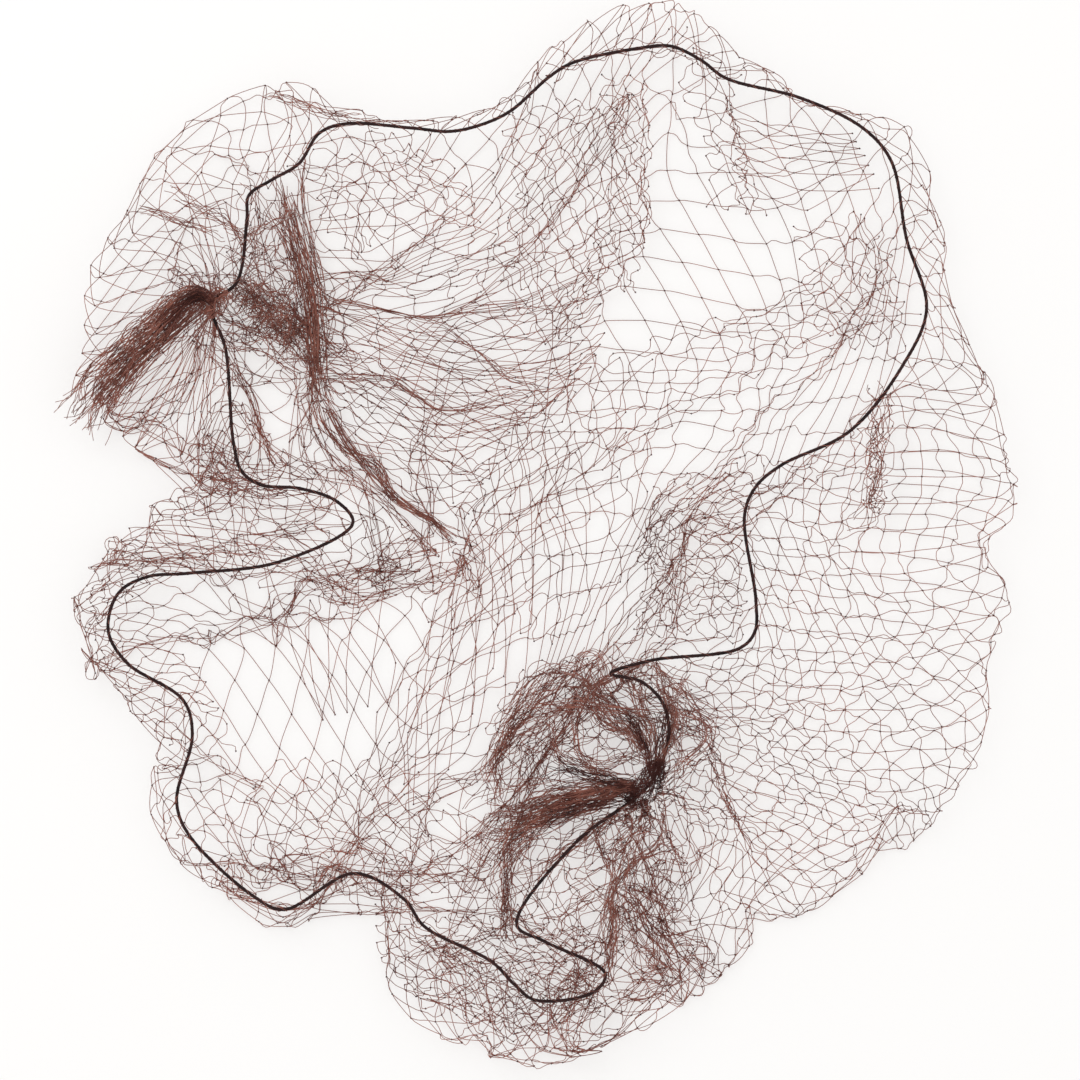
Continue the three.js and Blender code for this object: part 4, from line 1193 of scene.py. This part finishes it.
windings = []
for name, sense, turns, finish in (("cover_winding", 1, WINDING_TURNS, cord_finish),
                                   ("whipping", -1, WINDING_TURNS // 2, net_finish)):
    piece = tube_mesh(name, winding_line(turns, sense)[None], WINDING / 2, THREAD_SIDES, closed=True)
    piece.data.materials.append(finish)
    windings.append(piece)

# %% [markdown]
# Strands. Where the panel's ends are tied and where it is drawn into ropes, the threads run side by
# side. Hair curves could show them too. Here each rope is filled with thin tubes, like those of the
# netting, so that both look alike where one runs into the other. They wander slowly across the rope, so
# they cross and part as real ones do. Their ends stop at different places, which leaves it frayed.
# Beyond its ends a rope flares and lies flatter, so that it runs out into the netting.

# %% Strands that fill a rope
STRAND = 0.12
STRAND_STEPS = 28
AHEAD = 0.01
WANDER_CELLS = 3
WANDER_WIDE = 0.30
WANDER_HIGH = 0.25
WAVER_CELLS = 9
WAVER_BEYOND = 0.4
CURL_TURNS = (3, 8)
CURL_SHARES = (0.3, 1)
FLARE_WIDER = 0.9
FLARE_LOWER = 0.25
LOWEST_ROPE = 0.4


def smooth_draws(count, cells, places, draw):
    """For each strand, smooth random values at its places."""
    values = draw.standard_normal((count, cells + 2))
    cell = np.minimum((places * cells).astype(int), cells - 1)
    share = places * cells - cell
    share = share * share * (3 - 2 * share)
    rows = np.arange(count)[:, None]
    return values[rows, cell] * (1 - share) + values[rows, cell + 1] * share


def flared(rows, flare_start, flare_end):
    """The rows of a bundle, with a wide and flat row beyond each end for its strands to run out into."""
    rows = np.array(rows, float)
    way_in, way_out = rows[0, :2] - rows[1, :2], rows[-1, :2] - rows[-2, :2]
    before, after = rows[0].copy(), rows[-1].copy()
    before[:2] += way_in / np.linalg.norm(way_in) * flare_start
    after[:2] += way_out / np.linalg.norm(way_out) * flare_end
    for row, flare in ((before, flare_start), (after, flare_end)):
        row[3] += FLARE_WIDER * flare
        row[2] = max(LOWEST_ROPE, row[2] - FLARE_LOWER * flare)
    return np.array([before, *rows, after])


def strands_of(rows, count, waver, curl, fray_start, fray_end, draw):
    """Strands that fill a bundle whose middle line, width and height are given by rows."""
    middle = np.c_[rows[:, :2], rows[:, 2] + rows[:, 4] / 2]
    along = length_along(middle)
    stops = along / along[-1]
    start = draw.uniform(0, 1, count) * fray_start
    end = 1 - draw.uniform(0, 1, count) * fray_end
    places = start[:, None] + (end - start)[:, None] * np.linspace(0, 1, STRAND_STEPS)
    flat = places.ravel()
    shape = places.shape
    centre = through(flat, stops, middle).reshape(*shape, 3)
    ahead = through(np.clip(flat + AHEAD, 0, 1), stops, middle)
    ahead = (ahead - through(np.clip(flat - AHEAD, 0, 1), stops, middle)).reshape(*shape, 3)
    ahead /= np.linalg.norm(ahead, axis=-1, keepdims=True)
    sideways = np.stack([ahead[..., 1], -ahead[..., 0], np.zeros(shape)], -1)
    sideways /= np.linalg.norm(sideways, axis=-1, keepdims=True)
    wide = np.interp(places, stops, rows[:, 3]) / 2
    high = np.interp(places, stops, rows[:, 4]) / 2
    angle = draw.uniform(0, 2 * math.pi, count)[:, None]
    radius = np.sqrt(draw.uniform(0, 1, count))[:, None]
    x = radius * np.cos(angle) + WANDER_WIDE * smooth_draws(count, WANDER_CELLS, places, draw)
    z = radius * np.sin(angle) + WANDER_HIGH * smooth_draws(count, WANDER_CELLS, places, draw)
    over = np.maximum(np.hypot(x, z), 1)
    x, z = x / over, z / over
    beyond = np.maximum(0, wide - rows[1:-1, 3].max() / 2)
    x = x * wide + (waver + WAVER_BEYOND * beyond) * smooth_draws(count, WAVER_CELLS, places, draw)
    phase = draw.uniform(0, 2 * math.pi, count)[:, None]
    turns = draw.uniform(*CURL_TURNS, count)[:, None]
    swing = curl * draw.uniform(*CURL_SHARES, count)[:, None]
    x = x + swing * np.sin(phase + places * turns * 2 * math.pi)
    forward = swing * np.cos(phase + places * turns * 2 * math.pi)
    line = centre + sideways * x[..., None] + ahead * forward[..., None]
    line[..., 2] = np.clip(line[..., 2] + z * high, LOWEST, None)
    return line


print("strands of", STRAND, "mm, each with", STRAND_STEPS, "places")

# %% [markdown]
# Bundles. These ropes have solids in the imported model. The rows give a bundle's middle line, width and
# height, and are the rows that its solid was made from, but for the roots of the two tufts. Those are
# drawn in closer to the ties here, where the photo shows the threads come together.

# %% The bundles: rows (x, y, underside, wide, high), and how their strands lie
BUNDLE_SEED = 10
# name, strands, waver, curl, fray at the start and end, flare at the start and end, rows
BUNDLES = [
    ("gather_left", 36, 0.25, 0.0, 0.10, 0.10, 0.5, 0.5, [
        (-51.0, 38.3, 7.2, 2.2, 1.6), (-52.0, 37.2, 7.2, 3.6, 2.6), (-53.0, 36.0, 7.2, 3.6, 2.6),
        (-53.8, 34.8, 7.2, 2.2, 1.6)]),
    ("tuft_left", 80, 0.45, 0.15, 0.03, 0.45, 0.5, 4.0, [
        (-53.2, 37.0, 6.8, 1.0, 1.6), (-55.4, 37.8, 6.4, 2.2, 2.2), (-58.0, 36.4, 6.4, 4.2, 3.0),
        (-62.5, 32.0, 6.4, 5.6, 2.8),
        (-67.0, 27.0, 6.4, 7.0, 2.4), (-70.5, 22.6, 6.4, 9.0, 1.8), (-72.6, 19.6, 6.4, 8.0, 1.0)]),
    ("fold_left_rope", 34, 0.30, 0.0, 0.25, 0.25, 4.0, 4.0, [
        (-41.6, 54.0, 1.3, 2.0, 2.0), (-39.6, 47.0, 1.3, 3.4, 3.6), (-37.6, 39.0, 1.3, 3.6, 4.0),
        (-36.4, 31.0, 1.3, 3.2, 3.6), (-36.0, 24.6, 1.3, 2.2, 2.4)]),
    ("fold_left_crumple", 34, 0.6, 1.6, 0.30, 0.30, 2.0, 3.0, [
        (-49.0, 38.6, 1.3, 2.4, 3.0), (-46.6, 36.4, 1.3, 5.6, 4.2), (-43.4, 34.0, 1.3, 6.4, 4.4),
        (-40.6, 31.6, 1.3, 3.4, 3.2)]),
    ("fold_centre_rope", 16, 0.25, 0.0, 0.25, 0.25, 4.0, 4.0, [
        (-35.6, 21.6, 1.3, 1.4, 1.4), (-31.2, 13.4, 1.3, 1.8, 1.8), (-24.0, 5.4, 1.3, 1.8, 1.8),
        (-16.0, 0.4, 1.3, 1.3, 1.3)]),
    ("gather_right", 56, 0.30, 0.3, 0.10, 0.10, 0.5, 0.5, [
        (18.6, -36.6, 7.2, 2.6, 1.8), (17.4, -38.6, 7.2, 4.0, 3.2), (15.8, -41.0, 7.2, 4.6, 3.4),
        (13.4, -43.2, 7.2, 3.0, 2.0)]),
    ("tuft_right", 90, 0.40, 0.0, 0.05, 0.40, 0.5, 6.0, [
        (14.4, -40.4, 7.0, 1.4, 2.0), (11.4, -40.8, 5.6, 2.8, 2.4), (8.0, -42.0, 4.2, 4.6, 3.4),
        (2.0, -43.6, 1.8, 6.2, 3.8),
        (-3.4, -45.4, 1.3, 4.4, 2.4)]),
    ("fold_right_fan", 26, 0.45, 0.0, 0.05, 0.45, 0.5, 6.0, [
        (15.4, -34.8, 5.4, 2.4, 2.4), (14.6, -32.2, 3.6, 4.6, 3.4), (11.6, -28.6, 1.3, 5.0, 3.4),
        (7.8, -25.6, 1.3, 2.6, 2.0)]),
    ("fold_right_curl", 22, 0.5, 0.4, 0.30, 0.30, 3.0, 3.0, [
        (-7.6, -41.6, 1.3, 2.0, 2.0), (-7.6, -35.4, 1.3, 3.0, 3.0), (-3.6, -29.0, 1.3, 3.2, 3.2),
        (1.4, -24.2, 1.3, 3.0, 3.0), (5.6, -21.4, 1.3, 2.0, 2.0)]),
    ("fold_lower_rope", 14, 0.5, 0.2, 0.30, 0.30, 3.0, 3.0, [
        (-5.6, -48.6, 1.3, 2.0, 2.0), (-6.6, -53.0, 1.3, 2.4, 2.4), (-6.4, -58.4, 1.3, 1.8, 1.8),
        (-7.0, -63.6, 1.3, 1.2, 1.2)]),
    ("fold_outer_rope", 16, 0.7, 0.3, 0.30, 0.45, 4.0, 5.0, [
        (15.4, -47.4, 6.4, 2.0, 1.6), (12.4, -52.4, 6.4, 3.4, 2.4), (11.2, -58.6, 6.4, 3.4, 2.2),
        (10.4, -65.6, 6.4, 2.0, 1.4)]),
]


def bundle_lines(order):
    """The strands of one bundle."""
    _, count, waver, curl, fray_start, fray_end, flare_start, flare_end, rows = BUNDLES[order]
    draw = np.random.default_rng(SEED + BUNDLE_SEED + order)
    return strands_of(flared(rows, flare_start, flare_end), count, waver, curl, fray_start, fray_end, draw)


bundle_pieces = {}
for order, (name, *_) in enumerate(BUNDLES):
    piece = tube_mesh(name + "_strands", bundle_lines(order), STRAND / 2, THREAD_SIDES)
    piece.data.materials.append(tie_finish if name == "gather_right" else bundle_finish)
    bundle_pieces[name] = piece

# %% [markdown]
# Streams. These are thinner ropes that no solid stands for, such as the fans of threads that run into
# the two ties. A path, a width and the height at both ends are enough for one. Those whose names begin
# with tie are the dark roots of the ties.

# %% The streams, sorted by where they lie
# name, strands, wide, high, underside at the start and end, waver, flare at the start and end, path
STREAMS = [
    ("bubble_spoke_upper", 9, 1.5, 1.2, 5.0, 5.6, 0.25, 3, 3, [
        (-2.2, -28.0), (4.8, -27.8), (10.9, -28.6), (18.6, -29.4)]),
    ("bubble_spoke_right", 8, 2.0, 1.4, 5.6, 6.4, 0.25, 3, 2, [
        (20.0, -28.6), (25.9, -30.4), (26.2, -33.1), (23.0, -36.3), (18.9, -39.8)]),
    ("bubble_spoke_middle", 8, 1.5, 1.2, 4.0, 5.6, 0.25, 3, 3, [
        (5.1, -27.7), (5.4, -32.6), (6.2, -36.3), (7.8, -38.1), (12.3, -40.6)]),
    ("bubble_ring_left", 8, 1.5, 1.2, 2.6, 3.2, 0.25, 3, 3, [
        (-9.6, -39.8), (-7.5, -35.4), (-4.5, -32.6), (-0.8, -31.0), (1.8, -28.6)]),
    ("bubble_ring_inner", 7, 1.5, 1.0, 3.0, 3.4, 0.25, 3, 3, [
        (-6.6, -33.8), (-3.2, -30.1), (1.8, -28.6), (5.6, -27.5)]),
    ("bubble_ring_lower", 9, 1.5, 1.2, 3.6, 5.0, 0.25, 3, 3, [
        (1.1, -32.0), (2.2, -35.7), (5.9, -37.1), (9.6, -38.4), (13.9, -38.7)]),
    ("bubble_ring_close", 8, 1.5, 1.2, 4.2, 5.4, 0.25, 3, 3, [
        (4.0, -35.2), (5.9, -36.3), (9.6, -36.8), (13.3, -35.7), (15.8, -36.8)]),
    ("bubble_fan_first", 18, 2.5, 1.4, 5.2, 6.4, 0.30, 5, 1, [
        (7.8, -28.3), (10.2, -31.0), (13.9, -32.0), (15.7, -34.4), (16.3, -38.1)]),
    ("bubble_fan_second", 16, 2.2, 1.2, 5.4, 6.4, 0.30, 6, 1, [
        (14.7, -26.2), (15.7, -29.4), (17.0, -32.6), (16.3, -38.1)]),
    ("bubble_fan_third", 14, 2.2, 1.2, 5.4, 6.4, 0.30, 6, 1, [
        (20.3, -26.9), (20.6, -31.0), (18.7, -34.9), (16.8, -39.0)]),
    ("wedge_upper", 18, 2.0, 1.2, 6.4, 3.0, 0.30, 1, 8, [
        (14.2, -41.3), (10.7, -41.1), (5.9, -41.4), (0.8, -43.5), (-2.9, -45.8)]),
    ("wedge_lower", 15, 2.0, 1.2, 6.2, 3.0, 0.35, 1, 8, [
        (13.6, -42.9), (10.4, -45.1), (7.8, -47.2), (4.8, -49.8), (1.8, -51.8)]),
    ("wedge_between", 15, 3.0, 1.2, 5.4, 2.2, 0.40, 1, 10, [
        (13.6, -42.2), (8.8, -43.2), (4.3, -44.8), (0.0, -47.0), (-4.0, -48.3)]),
    ("lower_uprights", 9, 1.8, 1.2, 1.6, 1.4, 0.35, 5, 6, [
        (-2.9, -46.4), (-2.6, -49.1), (-4.5, -51.8), (-5.9, -55.5), (-5.9, -61.6)]),
    ("outer_rope_fan", 5, 2.0, 1.2, 6.4, 5.0, 0.35, 3, 8, [
        (18.9, -42.9), (18.2, -49.4), (13.8, -52.8), (11.0, -56.8), (8.8, -65.3)]),
    ("bubble_loops", 6, 1.2, 1.0, 4.0, 4.4, 0.25, 3, 3, [
        (4.5, -22.4), (5.9, -19.7), (7.8, -19.2), (9.4, -21.8), (8.8, -25.3)]),
    ("bubble_arch", 8, 1.8, 1.2, 2.8, 4.4, 0.30, 5, 4, [
        (-6.4, -30.1), (-4.8, -27.4), (-2.2, -23.7), (0.8, -21.9), (4.3, -22.4), (7.2, -24.3)]),
    ("cusp_rope", 9, 1.5, 1.2, 5.0, 4.0, 0.25, 4, 4, [
        (15.2, -20.8), (11.5, -22.7), (7.8, -24.6), (5.9, -27.4), (4.5, -30.4)]),
    ("cusp_right", 8, 2.0, 1.2, 5.0, 5.4, 0.30, 4, 4, [
        (18.6, -21.3), (19.0, -24.3), (20.3, -29.0), (21.6, -33.3)]),
    ("cusp_outward", 7, 2.0, 1.2, 5.0, 5.0, 0.35, 4, 4, [
        (16.8, -20.5), (21.0, -24.3), (24.6, -27.7), (28.3, -29.3)]),
    ("bubble_thin_left", 5, 2.0, 1.2, 5.4, 2.0, 0.40, 4, 6, [
        (10.4, -38.1), (2.4, -38.9), (-4.0, -40.3), (-8.8, -41.1)]),
    ("tuft_spread", 24, 3.2, 1.2, 6.4, 6.4, 0.50, 3, 6, [
        (-52.3, 36.8), (-54.2, 38.4), (-56.8, 36.8), (-60.5, 32.5), (-66.7, 27.5), (-71.2, 22.4)]),
    ("left_rope_outer", 9, 1.8, 1.6, 2.0, 2.0, 0.25, 5, 5, [
        (-43.0, 49.9), (-41.0, 47.8), (-38.1, 42.9), (-37.0, 35.7), (-37.0, 26.4)]),
    ("left_rope_inner", 7, 2.0, 1.6, 1.6, 1.6, 0.35, 5, 5, [
        (-45.3, 52.3), (-41.8, 46.7), (-39.8, 39.5), (-38.6, 32.3), (-36.6, 22.7)]),
    ("left_hang_first", 6, 1.5, 1.0, 5.6, 4.4, 0.30, 4, 4, [
        (-48.5, 47.4), (-45.4, 48.5), (-42.4, 49.9)]),
    ("left_lobe_fold_first", 8, 1.2, 1.0, 5.0, 5.6, 0.25, 1, 4, [
        (-65.1, 51.8), (-62.2, 50.9), (-59.2, 49.8), (-53.6, 48.0)]),
    ("left_lobe_fold_second", 8, 1.2, 1.0, 5.0, 6.0, 0.30, 3, 4, [
        (-58.1, 53.1), (-54.4, 51.2), (-50.7, 48.8), (-48.5, 46.9)]),
    ("crumple_upper", 6, 6.2, 2.0, 2.4, 2.4, 0.90, 4, 4, [
        (-49.4, 41.9), (-45.3, 43.2), (-40.8, 41.9), (-38.2, 38.7)]),
    ("crumple_middle", 6, 7.0, 2.0, 2.4, 2.4, 0.90, 4, 4, [
        (-50.7, 34.2), (-45.9, 35.2), (-41.4, 37.1), (-38.2, 41.0)]),
    ("crumple_lower", 5, 5.8, 2.0, 2.4, 2.4, 0.90, 4, 4, [
        (-50.1, 32.3), (-45.3, 31.4), (-40.8, 30.1), (-37.3, 26.6)]),
    ("crumple_upright", 5, 5.8, 2.0, 3.4, 3.4, 0.90, 5, 5, [
        (-45.3, 49.6), (-45.9, 43.2), (-45.0, 37.1), (-42.4, 29.8)]),
    ("crumple_foot", 5, 1.5, 1.2, 1.6, 1.6, 0.30, 4, 4, [
        (-50.1, 29.4), (-44.0, 28.8), (-40.0, 25.6)]),
    ("right_of_rope", 9, 1.2, 1.0, 1.6, 1.4, 0.25, 4, 4, [
        (-39.2, 57.0), (-38.6, 50.9), (-37.3, 45.8), (-35.7, 38.4)]),
    ("stream_top", 7, 1.0, 0.8, 1.6, 2.0, 0.25, 4, 6, [
        (-36.6, 39.0), (-34.4, 37.3), (-29.9, 36.3), (-23.8, 34.9), (-18.9, 33.8), (-11.5, 35.0),
        (-2.4, 36.6), (3.8, 39.7)]),
    ("stream_second", 7, 1.0, 0.8, 1.6, 2.0, 0.25, 4, 6, [
        (-36.0, 25.0), (-29.9, 24.6), (-23.8, 24.2), (-20.6, 21.9), (-17.0, 19.5), (-12.2, 19.5),
        (-8.5, 20.5)]),
    ("stream_third", 6, 1.1, 0.8, 1.6, 2.0, 0.30, 6, 6, [
        (-15.8, 32.0), (-12.3, 30.1), (-8.8, 27.5), (-5.3, 24.6), (-2.1, 23.7)]),
    ("centre_rope_upper", 10, 1.6, 1.2, 1.4, 1.4, 0.22, 4, 4, [
        (-37.3, 22.4), (-36.0, 17.4), (-32.0, 13.1), (-26.9, 10.7), (-24.3, 5.8)]),
    ("centre_rope_lower", 9, 1.5, 1.2, 1.4, 1.4, 0.22, 4, 5, [
        (-26.9, 10.7), (-24.3, 5.8), (-21.3, 3.5), (-18.4, 2.4), (-15.8, -0.6)]),
    ("upper_left_fold", 9, 1.2, 1.0, 5.6, 5.6, 0.35, 2, 2, [
        (-43.4, 69.8), (-39.2, 68.2), (-33.8, 66.6), (-28.0, 65.8)]),
    ("right_clump_strands", 9, 2.2, 1.2, 5.4, 5.4, 0.90, 4, 5, [
        (54.2, 20.8), (53.3, 16.3), (53.0, 11.5), (52.0, 4.3)]),
    ("tie_left_upper", 14, 1.6, 1.2, 8.2, 6.0, 0.20, 1, 5, [
        (15.5, -40.6), (11.2, -39.8), (7.2, -39.0), (3.4, -37.8)]),
    ("tie_left_lower", 14, 1.6, 1.2, 8.2, 6.0, 0.20, 1, 5, [
        (14.6, -42.6), (10.4, -43.2), (6.4, -43.8), (2.4, -44.8)]),
    ("tie_up_first", 10, 1.4, 1.2, 8.2, 7.0, 0.20, 1, 4, [
        (16.8, -38.4), (16.2, -35.2), (14.6, -31.4)]),
    ("tie_up_second", 9, 1.4, 1.2, 8.2, 7.0, 0.20, 1, 4, [
        (17.8, -38.1), (18.1, -34.6), (18.7, -30.7)]),
    ("tie_of_tuft", 18, 2.0, 0.8, 9.2, 8.6, 0.20, 1, 4, [
        (-52.6, 36.8), (-54.9, 37.9), (-57.4, 36.6), (-60.0, 33.8)]),
    ("star_up", 8, 1.6, 1.2, 4.4, 4.4, 0.35, 1, 6, [
        (10.7, -56.3), (9.8, -52.8), (8.2, -49.0)]),
    ("star_up_right", 9, 1.6, 1.2, 4.4, 4.4, 0.35, 1, 6, [
        (10.7, -56.3), (13.6, -53.1), (17.8, -50.9)]),
    ("star_right", 9, 1.6, 1.2, 4.4, 4.4, 0.35, 1, 6, [
        (10.7, -56.3), (14.6, -56.6), (19.0, -59.2)]),
    ("star_right_low", 9, 1.6, 1.2, 4.4, 4.4, 0.35, 1, 6, [
        (10.7, -56.3), (13.9, -59.5), (16.8, -64.6)]),
    ("star_down", 16, 1.6, 1.2, 4.4, 4.4, 0.35, 1, 2, [
        (10.7, -56.3), (10.9, -62.1), (10.1, -70.4)]),
    ("star_left", 8, 1.6, 1.2, 4.4, 4.4, 0.35, 1, 6, [
        (10.7, -56.3), (7.5, -58.2), (3.4, -60.8)]),
]
STREAM_SEED = 200
STREAM_CURL = 0.1
STREAM_FRAY = 0.3
# streams that start further down than this are sorted to the right tie
RIGHT_TIE_TOP = -15


def stream_lines(order):
    """The strands of one stream."""
    _, count, wide, high, low_start, low_end, waver, flare_start, flare_end, path = STREAMS[order]
    path = np.array(path)
    share = length_along(path) / length_along(path)[-1]
    rows = [(x, y, low_start + (low_end - low_start) * at, wide, high) for (x, y), at in zip(path, share)]
    draw = np.random.default_rng(SEED + STREAM_SEED + order)
    rows = flared(rows, flare_start, flare_end)
    return strands_of(rows, count, waver, STREAM_CURL, STREAM_FRAY, STREAM_FRAY, draw)


at_ties = [order for order, row in enumerate(STREAMS) if row[0].startswith("tie_")]
at_right = [order for order, row in enumerate(STREAMS)
            if row[-1][0][1] < RIGHT_TIE_TOP and order not in at_ties]
at_left = [order for order in range(len(STREAMS)) if order not in at_right + at_ties]
stream_pieces = []
for name, orders, finish in (("streams_at_right_tie", at_right, bundle_finish),
                             ("streams_at_left_tie", at_left, bundle_finish),
                             ("streams_in_ties", at_ties, tie_finish)):
    lines = np.concatenate([stream_lines(order) for order in orders])
    piece = tube_mesh(name, lines, STRAND / 2, THREAD_SIDES)
    piece.data.materials.append(finish)
    stream_pieces.append(piece)

# %% [markdown]
# Each piece rides on the one body of the model, and the solids that the pieces stand for are hidden.

# %% Tie the pieces to the imported model
rim_names = [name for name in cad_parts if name.startswith("net_rim_")]
for piece in (*net_pieces, cord, *windings, *stream_pieces, *bundle_pieces.values()):
    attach(piece, "root")
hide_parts("net_floor")
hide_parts(*rim_names)
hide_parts("elastic_edge")
for name, piece in bundle_pieces.items():
    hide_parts(name)
print("pieces:", len(net_pieces) + 1 + len(windings) + len(stream_pieces) + len(bundle_pieces))
